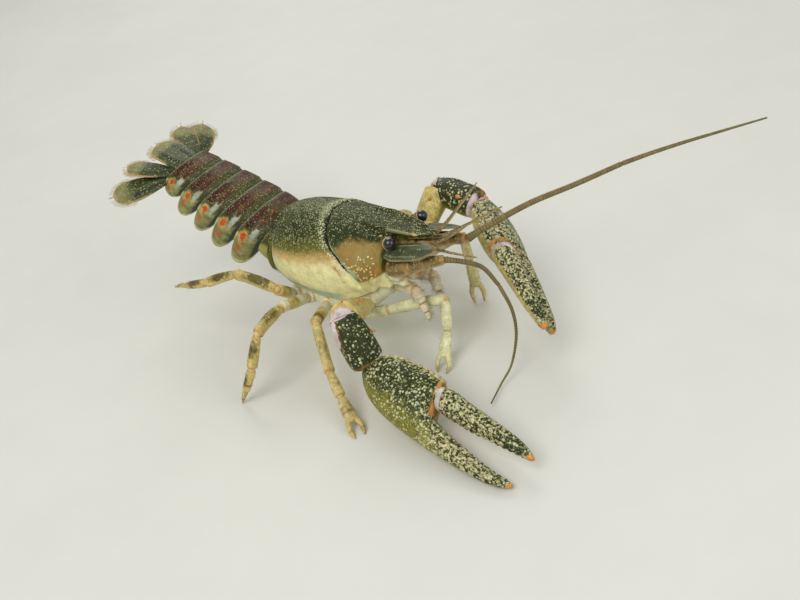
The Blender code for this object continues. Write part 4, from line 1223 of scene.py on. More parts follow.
# %% Walking legs
LEGS = {
    ("leg2", -1): [(19.5, -6.3, 11.4), (21.8, -8.3, 9.3), (30.8, -4.7, 10.9),
                   (44.8, 0.7, 14.0), (46.2, -2.8, 7.7), (47.4, -9.0, 0.0)],
    ("leg2", 1): [(19.5, 6.3, 11.4), (22.0, 9.5, 12.0), (26.6, 15.0, 12.6),
                  (33.0, 24.5, 14.5), (35.6, 22.2, 8.6), (40.0, 17.6, 0.0)],
    ("leg3", -1): [(13.5, -6.3, 11.2), (15.5, -10.0, 12.0), (20.2, -18.4, 14.0),
                   (29.8, -26.4, 8.0), (35.0, -29.6, 5.2), (43.0, -34.0, 0.0)],
    ("leg3", 1): [(13.5, 6.3, 11.2), (13.2, 10.0, 12.0), (12.0, 17.0, 14.0),
                  (10.0, 27.0, 15.0), (8.0, 33.0, 10.6), (5.0, 40.0, 0.0)],
    ("leg4", -1): [(8.5, -6.3, 11.2), (9.0, -10.0, 12.6), (11.0, -20.0, 17.0),
                   (13.0, -30.0, 17.0), (13.3, -35.0, 10.4), (8.0, -37.6, 0.0)],
    ("leg4", 1): [(8.5, 6.3, 11.2), (7.6, 9.5, 12.0), (4.0, 16.0, 14.4),
                  (-1.0, 25.0, 15.6), (-4.5, 31.0, 11.0), (-9.0, 38.0, 0.0)],
    ("leg5", -1): [(3.6, -6.3, 11.6), (4.4, -10.2, 12.8), (6.9, -16.0, 18.6),
                   (-4.5, -18.1, 22.0), (-12.5, -22.0, 20.0), (-26.0, -23.0, 16.0)],
    ("leg5", 1): [(3.6, 6.3, 12.0), (2.6, 9.0, 12.6), (-4.0, 14.0, 14.6),
                  (-12.0, 20.5, 15.4), (-18.0, 25.5, 10.8), (-25.0, 31.0, 0.0)],
}
HIP = ((0.0, 1.5, 1.55), (0.5, 1.75, 1.8), (0.85, 1.7, 1.7), (1.0, 1.4, 1.4))
SECOND = ((0.0, 1.2, 1.2), (0.3, 1.4, 1.45), (0.85, 1.35, 1.4), (0.95, 1.45, 1.5), (1.0, 1.1, 1.1))
UPPER = ((0.0, 1.0, 1.05), (0.12, 1.15, 1.35), (0.4, 1.3, 1.6), (0.8, 1.2, 1.45),
         (0.93, 1.32, 1.5), (0.98, 1.3, 1.45), (1.0, 1.0, 1.0))
WRIST = ((0.0, 0.8, 0.85), (0.2, 1.1, 1.15), (0.6, 1.25, 1.3), (0.92, 1.25, 1.3), (1.0, 0.95, 1.0))
SHANK = ((0.0, 0.8, 0.85), (0.15, 1.02, 1.1), (0.6, 1.0, 1.05), (0.93, 0.82, 0.88),
         (1.0, 0.6, 0.62))
HAND = ((0.0, 0.75, 0.75), (0.18, 1.25, 0.98), (0.6, 1.5, 1.05), (1.0, 1.3, 0.85))
TOE = ((0.0, 0.55, 0.6), (0.2, 0.62, 0.66), (0.6, 0.42, 0.42), (0.92, 0.2, 0.18), (1.0, 0.1, 0.1))
DIGIT = ((0.0, 0.72, 0.62), (0.3, 0.62, 0.6), (0.75, 0.42, 0.42), (1.0, 0.14, 0.14))


def line(start, end, bow=0.0, side=(0, 0, 1)):
    """A path between two places that bows a little to one side."""
    start = np.asarray(start, float)
    end = np.asarray(end, float)
    middle = (start + end) / 2 + np.asarray(side, float) * bow
    return curve_through((start, middle, end), 12)


def between_points(start, end, share):
    return tuple(np.asarray(start, float) * (1 - share) + np.asarray(end, float) * share)


def stand_on_floor(piece):
    """Lift what lies below the floor up to it."""
    points = places(piece)
    points[:, 2] = np.maximum(points[:, 2], 0.0)
    piece.data.vertices.foreach_set("co", ((points - MIDDLE) * MM).ravel())
    piece.data.update()


def walking_leg(name, side):
    """The upper leg, the wrist and the foot, as three pieces."""
    points = LEGS[name, side]
    title = f"{name}_{SIDES[side]}"
    upper = [
        tube("hip", line(between_points(points[0], points[1], -0.12), points[1]), HIP, sides=24,
             steps=20, hip=1.0),
        tube("second", line(points[1], points[2]), SECOND, sides=24, steps=24, hip=0.4),
        tube("upper", line(points[2], points[3], 0.35), UPPER, sides=28, steps=40),
    ]
    for k, radius in ((1, 1.25), (2, 1.0), (3, 0.95)):
        way = np.asarray(points[k + 1 if k < 3 else 4], float) - points[k]
        upper.append(soft_joint("skin", points[k], radius, way))
    wrist = [tube("wrist", line(points[3], points[4], 0.15), WRIST, sides=26, steps=24),
             soft_joint("skin", points[4], 0.82, np.asarray(points[5]) - points[4])]
    start = np.asarray(points[4], float)
    tip = np.asarray(points[5], float)
    way = unit(tip - start)
    if name in ("leg2", "leg3"):
        fork = between_points(start, tip, 0.58)
        across = unit(np.cross(way, (0, 0, 1)))
        foot = [tube("hand", line(start, between_points(start, tip, 0.64)), HAND, sides=26,
                     steps=26, ends=(0.5, 0.9))]
        for turn in (-1, 1):
            root = np.asarray(fork) + across * turn * 0.78 - way * 0.5
            end = tip + across * turn * 1.15
            foot.append(tube("digit", line(root, end, 0.5 * turn, across), DIGIT, sides=18,
                             steps=24, ends=(0.3, 0.25), digit=1.0))
    else:
        ankle = between_points(start, tip, 0.64)
        foot = [tube("shank", line(start, ankle), SHANK, sides=24, steps=30),
                tube("toe", line(between_points(start, tip, 0.62), tip, 0.25), TOE, sides=18,
                     steps=24, ends=(0.3, 0.3), digit=1.0)]
    pieces = {}
    for part, members in (("upper", upper), ("wrist", wrist), ("foot", foot)):
        piece = join(f"{title}_{part}_shell", members)
        stand_on_floor(piece)
        pieces[f"{title}_{part}"] = piece
    return pieces


legs = {}
for name, side in LEGS:
    legs.update(walking_leg(name, side))
print("leg pieces:", len(legs))

# %% [markdown]
# ## The underside of the body
# Between the legs the body is closed by pale plates. Seen from the side they show as a soft
# cream skirt with a knuckle over each leg, under the margin of the carapace.

# %% Breast
LEG_ROOTS = (3.6, 8.5, 13.5, 19.5, 27.0)


def breast_ribs():
    ribs = []
    turn = full_turn(65)
    for x in np.linspace(0.6, 34.2, 110):
        margin = float(shell_line(x)[0])
        narrow = 1.0 - 0.3 * step(x, 27.0, 31.0)
        end = min(1.0, math.sqrt(max(0.02, min(x - 0.5, 34.3 - x) / 1.8)))
        knuckle = sum(bump(x - root, 1.5) for root in LEG_ROOTS)
        half = (6.2 + 0.9 * knuckle) * narrow * end
        skirt = (0.8 * float(shell_line(x)[3]) - 0.3 - 1.8 * (1.0 - narrow)) * end
        low = margin - GAP - 5.4 * (1.0 - 0.2 * step(x, 27.0, 31.0))
        top = margin + 2.4
        middle = (low + top) / 2
        tall = (top - low) / 2 * end
        wide = half + (skirt - half) * step(np.sin(turn), -1.0, -0.5)
        y = wide * squarer(np.cos(turn), 0.6)
        z = middle + tall * squarer(np.sin(turn), 0.7)
        z = z + 0.5 * bump(y, 1.2) * (np.sin(turn) < 0)
        ribs.append(np.stack((np.full_like(turn, x), y, z), axis=-1))
    return closed(ribs)


breast = skin_over("breast_plates", breast_ribs())
print("breast plates:", len(breast.data.polygons), "faces")

# %% [markdown]
# ## The great claws
# The hand of a claw is drawn as it looks from above: an outer edge, an inner edge and a
# half thickness at each place along it. The outer edge runs on into the fixed finger, and
# the inner edge steps in where the free finger is hinged. Small teeth are pressed into the
# edges that meet, so each finger bites along its whole length.

# %% Claw measures
CLAWS = {
    -1: {
        "points": [(27.0, -6.3, 13.8), (28.6, -9.6, 14.6), (35.2, -22.4, 22.3),
                   (40.6, -23.3, 11.3), (83.6, -31.6, 1.6)],
        "mesial": (0.26, 0.80, 0.50), "open": 1.0, "size": 1.05,
    },
    1: {
        "points": [(27.0, 6.3, 13.8), (27.3, 10.0, 14.7), (27.5, 26.0, 26.0),
                   (39.5, 26.0, 23.3), (70.6, 3.0, 11.2)],
        "mesial": (0.30, -0.75, 0.60), "open": 0.45, "size": 1.0,
    },
}
PALM = ((-0.6, -1.6, 1.6, 1.5), (0.0, -2.4, 2.4, 2.4), (2.5, -4.4, 3.9, 3.2),
        (6.0, -5.8, 5.4, 3.9), (10.0, -6.4, 6.2, 4.2), (14.0, -6.5, 6.8, 4.1),
        (16.6, -6.45, 6.7, 3.85), (17.2, -6.4, 6.0, 3.7), (18.0, -6.35, 4.2, 3.4),
        (18.9, -6.3, 1.6, 3.1), (19.8, -6.2, -0.4, 2.9), (22.0, -6.1, -1.0, 2.6),
        (27.0, -5.6, -1.4, 2.2),
        (32.0, -4.9, -1.5, 1.8), (36.5, -4.0, -1.4, 1.4), (39.5, -2.9, -1.0, 1.0),
        (41.2, -1.9, -0.9, 0.5))
FREE_FINGER = ((16.9, 2.6, 4.6, 1.6), (17.5, 1.4, 5.7, 2.5), (20.0, 0.9, 6.0, 2.6),
               (25.0, 0.6, 5.2, 2.25), (30.0, 0.4, 4.4, 1.9), (35.0, 0.4, 3.6, 1.5),
               (38.5, 0.4, 2.8, 1.1), (40.8, 0.3, 1.8, 0.8), (41.6, 0.5, 1.3, 0.4))
HINGE = (17.7, 3.4)
SWING = 10.0


def teeth(along, start, end):
    """Low blunt teeth, largest in the middle, along a biting edge."""
    spot = (along - start) / (end - start)
    inside = step(spot, 0.03, 0.12) * fall(spot, 0.9, 0.98)
    return 0.34 * inside * np.abs(np.sin(along * 2.1)) ** 1.5 * (0.6 + 0.5 * bump(spot - 0.35, 0.3))


def hand_frame(side):
    """Where a hand starts, the way it points, its inner side, its upper side and its size."""
    data = CLAWS[side]
    points = [Vector(p) for p in data["points"]]
    before = (points[3] - points[2]).normalized()
    after = (points[4] - points[3]).normalized()
    origin = points[3] + (before + after).normalized() * GAP / 2
    forward = (points[4] - origin).normalized()
    mesial = Vector(data["mesial"])
    mesial = (mesial - forward * mesial.dot(forward)).normalized()
    upward = forward.cross(mesial)
    upward = upward if upward.z > 0 else -upward
    return *(np.array(item) for item in (origin, forward, mesial, upward)), data["size"]


def hand_ribs(side, table, bite):
    """Ribs across a hand or a finger, with its biting edge toothed."""
    origin, forward, mesial, upward, size = hand_frame(side)
    table = np.array(table, float)
    turn = full_turn(73)
    ribs = []
    stations = np.unique(np.concatenate((np.linspace(table[0, 0], table[-1, 0], 150),
                                         np.linspace(16.4, 19.4, 24) if bite > 0 else [17.0])))
    for along in stations:
        outer = smooth(along, table[:, 0], table[:, 1])
        inner = smooth(along, table[:, 0], table[:, 2])
        tall = smooth(along, table[:, 0], table[:, 3])
        middle = (outer + inner) / 2
        half = (inner - outer) / 2
        across = squarer(np.cos(turn), 0.88)
        over = squarer(np.sin(turn), 0.92)
        biting = bump(turn if bite > 0 else turn - math.pi, 0.42) + bump(turn - 2 * math.pi, 0.42)
        tooth = teeth(along, 19.0, 41.0) * biting * bite
        ridge = 0.22 * step(along, 18, 22) * (bump(np.abs(np.sin(turn)) - 0.97, 0.05)
                                              - 0.8 * bump(np.abs(np.sin(turn)) - 0.8, 0.08))
        ribs.append(origin + forward * along * size
                    + ((middle + half * across + tooth) * size)[:, None] * mesial
                    + ((tall * over + np.sign(over) * ridge) * size)[:, None] * upward)
    return closed(ribs, forward * 0.3 * size)


def swing_finger(side, ribs):
    """Open the free finger about its hinge."""
    origin, forward, mesial, _, size = hand_frame(side)
    hinge = origin + (forward * HINGE[0] + mesial * HINGE[1]) * size
    angle = math.radians(SWING) * CLAWS[side]["open"]
    turn = np.array(Quaternion(Vector(forward).cross(Vector(mesial)), angle).to_matrix())
    return [hinge + (rib - hinge) @ turn.T for rib in ribs]


def on_hand(side, along, across, over):
    """A place given along, across and over a hand."""
    origin, forward, mesial, upward, size = hand_frame(side)
    return origin + (forward * along + mesial * across + upward * over) * size


print("claws:", len(CLAWS), "with hands", round(41.5 * CLAWS[-1]["size"], 1), "mm long")

# %% [markdown]
# The arm and the wrist are stout tubes. The wrist is as wide as it is long and has one strong
# spine on its inner side. The hand carries two rows of low knobs along its inner edge.

# %% Claws
ARM = ((0.0, 1.5, 1.6), (0.1, 2.1, 2.1), (0.3, 2.6, 2.6), (0.6, 3.05, 3.2), (0.86, 3.35, 3.5),
       (0.95, 3.45, 3.6), (1.0, 2.9, 3.0))
CARPUS = ((0.0, 2.3, 2.3), (0.12, 3.2, 3.1), (0.4, 3.95, 3.8), (0.75, 4.1, 3.9), (0.93, 3.7, 3.5),
          (1.0, 3.0, 2.9))


def hoop(place, way, radius, thickness, mark_name, segments=(56, 12)):
    """A raised rim, such as the one round the end of an arm."""
    deselect()
    bpy.ops.mesh.primitive_torus_add(major_segments=segments[0], minor_segments=segments[1],
                                     major_radius=radius * MM, minor_radius=thickness * MM)
    piece = bpy.context.object
    piece.data.transform(turned(place, way))
    mark(piece, **{mark_name: np.ones(len(piece.data.vertices))})
    bpy.ops.object.shade_smooth()
    return piece


def claw(side):
    data = CLAWS[side]
    points = [np.asarray(p, float) for p in data["points"]]
    title = "claw_" + SIDES[side]
    _, forward, mesial, upward, _ = hand_frame(side)
    arm_way = unit(points[2] - points[1])
    wrist_way = unit(points[3] - points[2])
    arm = [
        tube("root", line(points[0] - (0, side * 0.5, 0), points[1]), HIP, sides=28, steps=20,
             hip=1.0),
        tube("arm", line(points[1], points[2] - arm_way * 0.3, 0.5), ARM, sides=40, steps=50,
             ends=(0.8, 0.9)),
        soft_joint("skin", points[1], 1.7, points[2] - points[1]),
        soft_joint("skin", points[2], 2.75, wrist_way, 0.9),
        hoop(points[2], arm_way * 0.45 + wrist_way, 2.9, 0.22, "cuff"),
    ]
    inner = np.asarray(data["mesial"], float)
    arm_spines = [
        (points[2] - arm_way * 6.6 + (0, 0, 3.0), (arm_way * 0.5 + (0, 0, 1.0)), 1.7, 1.1, forward),
        (points[2] - arm_way * 3.4 + (0, 0, 3.2), (arm_way * 0.8 + (0, 0, 1.0)), 2.0, 1.2, forward),
        (points[2] - arm_way * 7.4 + inner * 2.9, inner + arm_way * 0.4, 1.6, 1.1, forward),
        (points[2] - arm_way * 3.6 + inner * 3.0, inner + arm_way * 0.6, 1.9, 1.2, forward),
    ]
    wrist = [tube("wrist", line(points[2] - wrist_way * 1.3, points[3], 0.2), CARPUS, sides=44,
                  steps=44, ends=(0.9, 0.9)),
             soft_joint("skin", points[3], 2.3, forward, 0.8)]
    middle = (points[2] + points[3]) / 2
    wrist_spines = [
        (middle + inner * 3.5 + wrist_way * 0.5, inner + wrist_way * 0.75, 2.2, 1.5, wrist_way),
        (middle + inner * 3.3 - wrist_way * 2.4, inner + wrist_way * 0.4, 1.3, 1.1, wrist_way),
        (points[3] - wrist_way * 1.6 + inner * 2.8, inner * 0.5 + wrist_way, 1.5, 1.2, wrist_way),
        (points[3] - wrist_way * 0.9 + inner * 0.9 + upward * 2.5, wrist_way + upward, 1.0, 1.5,
         wrist_way),
    ]
    hand = skin_over("hand", hand_ribs(side, PALM, 1.0))
    finger = skin_over("finger", swing_finger(side, hand_ribs(side, FREE_FINGER, -1.0)))
    spots, outer_edges, inner_edges, _ = zip(*PALM)
    knobs = []
    for row, lift in ((0, 0.9), (1, -0.9)):
        for along in np.arange(2.6, 17.0, 1.55):
            along += row * 0.75 + random.uniform(-0.15, 0.15)
            inner_edge = smooth(along, spots, inner_edges)
            root = on_hand(side, along, inner_edge - 0.42, lift * 1.15)
            knobs.append((root, mesial + forward * 0.45 + upward * lift * 0.2,
                          random.uniform(0.75, 1.05), random.uniform(1.0, 1.3), forward))
    outer_knobs = []
    for along in np.arange(3.5, 33.0, 1.9):
        outer_edge = smooth(along, spots, outer_edges)
        root = on_hand(side, along, outer_edge + 0.25, random.uniform(-0.2, 0.5))
        outer_knobs.append((root, -mesial + forward * 0.3, 0.38, 0.8, forward))
    for piece in (hand, finger):
        stand_on_floor(piece)
    pieces = {"arm": join("arm", arm), "wrist": join("wrist", wrist), "hand": hand,
              "finger": finger}
    extras = [plant(title + "_spines", thorn, arm_spines + wrist_spines),
              plant(title + "_knobs", dome, [(r, w, l * 1.1, d * 0.95, f)
                                             for r, w, l, d, f in knobs + outer_knobs])]
    named = {}
    for part, piece in pieces.items():
        piece.name = f"{title}_{part}_shell"
        piece.data.name = piece.name
        named[f"{title}_{part}"] = piece
    return named, extras


claws = {}
claw_extras = []
for side in SIDES:
    named, extras = claw(side)
    claws.update(named)
    claw_extras += extras
print("claw pieces:", len(claws))

# %% [markdown]
# ## The head
# The eyes are glossy black balls on short stalks that stand in the notches beside the
# rostrum. Under them come the stout stalks of the long feelers, each under its leaf-shaped
# scale, and between them the two forked short feelers.

# %% Eyes
def eye(side):
    start = np.array((FACE_X - 1.2, side * 5.0, 31.3))
    ball_place = np.array((38.5, side * 6.0, 32.2))
    radius = 1.42
    deselect()
    bpy.ops.mesh.primitive_uv_sphere_add(segments=48, ring_count=28, radius=radius * MM)
    ball = bpy.context.object
    ball.name = "eye_ball_" + SIDES[side]
    ball.data.name = ball.name
    ball.data.transform(Matrix.Translation(at(ball_place)))
    bpy.ops.object.shade_smooth()
    way = ball_place - start
    stalk = tube("stalk", line(start, start + way * 0.82),
                 ((0.0, 0.9), (0.5, 1.05), (0.85, 1.25), (1.0, 1.1)), sides=28,
                 steps=16, ends=(0.3, 0.5))
    ring_way = unit(way)
    ring = hoop(ball_place - ring_way * 0.42, ring_way, 1.36, 0.17, "soft", (48, 10))
    return ball, join("eye_stalk_" + SIDES[side], [stalk, ring])


eyes = {side: eye(side) for side in SIDES}
print("eyes:", len(eyes))

# %% [markdown]
# A feeler is a whip of a few hundred short rings. The tube function takes a ripple along its
# length, so the rings are real steps in the mesh and not only paint.

# %% Feelers, stalks and scales
FEELER_PATHS = {
    "feeler_left_near": ((52.0, 4.2, 29.8), (55.5, 8.0, 31.6), (60.9, 17.1, 33.0),
                         (66.9, 26.3, 33.4), (72.8, 37.0, 33.6)),
    "feeler_left_far": ((72.8, 37.0, 33.6), (76.7, 43.0, 33.5), (81.5, 49.5, 33.4),
                        (87.5, 57.0, 33.2), (94.5, 65.0, 33.2)),
    "feeler_right_near": ((52.0, -4.2, 29.8), (55.0, -1.9, 28.4), (57.0, 1.6, 25.0),
                          (59.0, 3.4, 19.5)),
    "feeler_right_far": ((59.0, 3.4, 19.5), (61.8, 2.7, 14.0), (63.4, 0.5, 9.0),
                         (63.6, -3.3, 3.6), (63.4, -8.0, 1.4), (64.6, -14.0, 1.0)),
}


FEELER_RING = 0.62


def feeler_ripple(length):
    """A small step at the end of each ring of a feeler."""
    return 1.0 + 0.09 * (length / FEELER_RING % 1.0) ** 2


feelers = {}
for key, path in FEELER_PATHS.items():
    near = key.endswith("near")
    stout = 1.0 if "left" in key else 0.8
    stations = ((0.0, 0.95), (0.08, 0.74), (1.0, 0.55)) if near else ((0.0, 0.55), (1.0, 0.2))
    thick = [(share, radius * stout) for share, radius in stations]
    smooth_line = curve_through(path, 12)
    count = 330 if "left" in key else 240
    feelers[key] = tube(key + "_rings", smooth_line, thick, sides=12, steps=count,
                        ends=(0.25, 0.25), lump=0.0, ripple=feeler_ripple)


def feeler_stalk(side):
    """Three stout joints that carry a feeler."""
    path = ((FACE_X - 0.4, side * 6.2, 25.4), (43.0, side * 5.8, 27.2), (52.0, side * 4.2, 29.8))
    middle = between_points(path[1], path[2], 0.42)
    members = [
        tube("stalk", line(path[0], path[1], -0.2), ((0.0, 1.6, 1.6), (0.2, 2.2, 2.1),
             (0.7, 2.3, 2.1), (0.94, 2.0, 1.9), (1.0, 1.5, 1.4)), sides=36, steps=30,
             ends=(0.6, 0.7)),
        tube("stalk", line(path[1], middle), ((0.0, 1.2, 1.2), (0.25, 1.75, 1.7), (0.85, 1.65, 1.6),
             (1.0, 1.2, 1.2)), sides=32, steps=24, ends=(0.5, 0.6)),
        tube("stalk", line(middle, path[2]), ((0.0, 1.0, 1.0), (0.2, 1.35, 1.3), (0.85, 1.15, 1.1),
             (1.0, 0.85, 0.85)), sides=32, steps=30, ends=(0.5, 0.6)),
        soft_joint("skin", path[1], 1.35, np.subtract(middle, path[1])),
        soft_joint("skin", middle, 1.0, np.subtract(path[2], middle)),
    ]
    return join("feeler_stalk_" + SIDES[side], members)


def feeler_scale(side):
    """The leaf-shaped scale over the stalk, with a thick outer rim."""
    root = np.array((FACE_X - 0.3, side * 6.0, 29.4))
    tip = np.array((50.2, side * 4.9, 32.1))
    halves = ((0.0, 1.5), (0.25, 2.6), (0.6, 2.6), (0.85, 1.7), (1.0, 1.0))
    return fan_blade("feeler_scale_" + SIDES[side], root, tip,
                     (0.1, 1, -0.4 * side), halves, 0.75, (0.86 * side, -0.1 * side), 0.15)


stalks = {side: feeler_stalk(side) for side in SIDES}
scales = {side: feeler_scale(side) for side in SIDES}
print("feeler lengths:", {key: len(piece.data.polygons) for key, piece in feelers.items()})

# %% [markdown]
# The short feelers fork after three joints, one branch above the other.

# %% Short feelers
SHORT_ENDS = {
    -1: (((48.0, -3.0, 31.2), (53.0, -3.0, 31.0), (58.5, -1.2, 29.8)),
         ((48.0, -1.2, 31.6), (52.0, 1.0, 33.4), (55.5, 4.4, 35.5))),
    1: (((48.0, 1.7, 31.6), (52.5, 4.6, 33.4), (58.0, 11.0, 35.2)),
        ((47.0, 3.4, 32.9), (49.5, 7.6, 36.4), (51.5, 12.0, 39.6))),
}


SHORT_RING = 0.5


def short_ripple(length):
    return 1.0 + 0.11 * (length / SHORT_RING % 1.0) ** 2


def short_feeler(side):
    base = np.array((FACE_X - 0.4, side * 2.2, 29.2))
    neck = np.array((44.5, side * 2.0, 30.8))
    members = []
    for start, end, radius in ((0.0, 0.42, 1.05), (0.4, 0.72, 0.95), (0.7, 1.0, 0.82)):
        members.append(tube("joint", line(between_points(base, neck, start),
                                          between_points(base, neck, end)),
                            ((0.0, radius * 0.75), (0.3, radius), (0.9, radius * 0.95),
                             (1.0, radius * 0.7)), sides=22, steps=12, ends=(0.3, 0.3)))
    for ends in SHORT_ENDS[side]:
        root = neck + np.array((-0.3, math.copysign(0.35, ends[0][1] - neck[1]), 0.0))
        path = curve_through((root,) + ends, 8)
        members.append(tube("whip", path, ((0.0, 0.5), (1.0, 0.16)), sides=10, steps=96,
                            ends=(0.2, 0.2), lump=0.0, ripple=short_ripple, whip=1.0))
    return join("short_feeler_" + SIDES[side], members)


short_feelers = {side: short_feeler(side) for side in SIDES}
print("short feelers:", len(short_feelers))

# %% [markdown]
# The jaw legs close the mouth from below. Each goes forward from the breast, turns down at
# its knee and ends in three narrowing joints.

# %% Jaw legs and mouth
def jaw_leg(side):
    base = np.array((33.0, side * 2.4, 17.4))
    knee = np.array((40.2, side * 3.3, 18.2))
    tip = np.array((43.4, side * 1.6, 9.4) if side > 0 else (42.2, side * 3.4, 10.6))
    members = [
        tube("jaw", line(base, knee, 0.2), ((0.0, 1.3, 1.3), (0.2, 1.6, 1.6), (0.8, 1.5, 1.6),
             (1.0, 1.2, 1.2)), sides=28, steps=30, ends=(0.5, 0.8)),
        soft_joint("skin", knee, 1.15, tip - knee),
    ]
    for start, end, radius in ((0.0, 0.45, 1.3), (0.44, 0.76, 1.02), (0.75, 1.0, 0.72)):
        members.append(tube("jaw", line(between_points(knee, tip, start),
                                        between_points(knee, tip, end)),
                            ((0.0, radius * 0.72, radius * 0.72), (0.25, radius, radius),
                             (0.85, radius * 0.93, radius * 0.9),
                             (1.0, radius * 0.5, radius * 0.5)),
                            sides=24, steps=18, ends=(0.35, 0.4)))
    return join("jaw_leg_shell_" + SIDES[side], members)


def mouth_plates():
    """Pale ribbed plates between the cheek and the jaw legs."""
    members = []
    for side in (-1, 1):
        for k, (x, y, z, length, radius) in enumerate((
            (34.2, 5.6, 22.6, 4.6, 1.5), (34.6, 4.6, 20.6, 5.0, 1.4), (34.8, 3.2, 22.8, 5.4, 1.7),
            (34.6, 1.4, 20.2, 5.2, 1.4), (35.6, 4.8, 24.6, 4.0, 1.5),
        )):
            start = (x, side * y, z)
            end = (x + length, side * (y - 0.8), z - 0.7 + 0.2 * k)
            members.append(tube("plate", line(start, end, 0.3),
                                ((0.0, radius * 0.8, radius * 0.6), (0.5, radius, radius * 0.75),
                                 (1.0, radius * 0.6, radius * 0.4)), sides=24, steps=20,
                                ends=(0.8, 1.2), lump=0.1))
    return join("mouth_plates", members)


jaws = {side: jaw_leg(side) for side in SIDES}
mouth = mouth_plates()
print("jaw legs:", len(jaws), "and mouth plates")

# %% [markdown]
# ## Finishes of the tail
# A tail ring is thin, glossy olive shell. Its colour follows the ring itself and not the
# room, so its marks are read from two numbers kept on the mesh: how far round the ring a
# point lies, from the midline of the back to the tip of the lobe, and how far along it.

# %% Tail marks and finishes
def mark_ring(piece, number):
    down = read(piece, "down")
    share = read(piece, "share")
    band = fall(down, 0.38, 0.47)
    mark(piece, maroon=band * bump(share - 0.80, 0.15) * (0.5 + 0.6 * step(down, 0.03, 0.14)))
    second = step(down, 0.04, 0.12) * fall(down, 0.34, 0.42) * bump(share - 0.42, 0.10)
    mark(piece, maroon_small=second * 0.95,
         warm=0.62 * fall(down, 0.26, 0.40) * bump(share - 0.6, 0.3))
    spotted = 1.0 if number > 0 else 0.0
    mark(piece, halo=spotted * bump(down - 0.59, 0.13) * bump(share - 0.74, 0.22),
         spot=1.05 * spotted * bump(down - 0.59, 0.082) * bump(share - 0.72, 0.13),
         low_spot=0.95 * spotted * bump(down - 0.78, 0.085) * bump(share - 0.70, 0.18),
         bluish=1.15 * spotted * bump(down - 0.48, 0.16) * bump(share - 0.40, 0.13),
         blotch=0.47 * step(down, 0.56, 0.70) * spotted,
         lobe=step(down, 0.50, 0.66))
    rim = np.maximum(step(down, 0.92, 0.965), bump(share - 1.0, 0.06) * step(down, 0.55, 0.65))
    # The front of each ring, where it passes under the ring before, and the front of each lobe are
    # darkened: painted shade in the gaps between the rings.
    mark(piece, rim=rim * (number > 0),
         gap_dark=bump(share - 0.08, 0.14) * step(down, 0.5, 0.62) + bump(share, 0.10),
         edge_line=0.7 * bump(share - 1.0, 0.05) * fall(down, 0.5, 0.6),
         dust=0.8 * fall(down, 0.28, 0.58))


tail_finish = finish(
    "tail_ring_finish", (66, 68, 32),
    layers=(
        ("warm", (84, 46, 24), 900, 1.2, 0.30),
        ("lobe", (158, 152, 80), 900, 0.9, 0.45),
        ("blotch", (94, 108, 72), 420, 1.5, 0.25),
        ("halo", (196, 172, 96), 900, 0.9, 0.35),
        ("bluish", (172, 180, 158), 900, 0.9, 0.35),
        # painted shade in the gaps between the rings
        ("gap_dark", (46, 58, 44), 700, 0.5, 0.45),
        ("maroon_small", (78, 30, 20), 1100, 1.1, 0.22),
        ("maroon", (62, 16, 14), 1000, 1.1, 0.22),
        ("low_spot", (172, 104, 48), 1300, 1.1, 0.40),
        ("spot", (206, 76, 24), 1100, 1.4, 0.25),
        ("rim", (190, 184, 132), 1200, 0.3, 0.30),
        ("edge_line", (112, 114, 78), 1500, 0.4, 0.40),
    ),
    dots=(
        ("dust", (170, 162, 112), 2200, 0.30, 0.7),
        ("dust", (120, 116, 72), 3000, 0.32, 0.45),
    ),
    roughness=0.5, coat=0.03, mottle=0.45, gloss=0.2,
)
for number, ring in enumerate(tail_rings):
    mark_ring(ring, number)
    dress(ring, tail_finish, "tail_shell", f"tail_{number + 1}")

flesh_finish = finish("soft_belly", (196, 178, 130), mottle=0.25, roughness=0.5, coat=0.1,
                      layers=(("soft", (206, 168, 140), 900, 0.3, 0.3),))
for piece in (belly, swimmerets):
    dress(piece, flesh_finish, "pale_shell")
print("tail rings finished:", len(tail_rings))

# %% [markdown]
# The blades of the fan are thin and olive, dusted like the back, with a pale orange rim along
# the free edge. How near a point lies to that edge is kept on the mesh.

# %% Fan finish
fan_finish = finish(
    "fan_blade_finish", (66, 76, 36),
    layers=(
        ("stripe", (48, 52, 34), 500, 0.7, 0.35),
        ("pale_end", (126, 124, 74), 700, 0.6, 0.40),
        ("rim", (176, 142, 92), 900, 0.5, 0.40),
    ),
    dots=(("dust", (172, 168, 128), 2000, 0.34, 0.7),),
    roughness=0.5, coat=0.05,
)
for key, blade_piece in fan.items():
    edge = read(blade_piece, "edge")
    share = read(blade_piece, "share")
    rim = np.maximum(step(edge, 0.82, 0.97) * step(share, 0.2, 0.5), step(share, 0.90, 0.985))
    mark(blade_piece, rim=rim,
         stripe=bump(edge - 0.5, 0.2) * fall(share, 0.7, 0.9),
         pale_end=step(share, 0.55, 0.85),
         dust=0.6 + 0.0 * share)
    dress(blade_piece, fan_finish, "tail_fan", key)
print("fan finished:", len(fan))

# %% [markdown]
# ## Finishes of the legs
# The legs are cream to yellow, olive brown on top, with orange at the joints and on the tips
# and a brown band here and there. The first pair is the palest and the last the darkest.

# %% Leg marks and finish
LEG_DARK = {"leg2": 0.12, "leg3": 0.35, "leg4": 0.75, "leg5": 0.95}
LEG_PALE = {"leg2": 1.0, "leg3": 0.3, "leg4": 0.0, "leg5": 0.0}


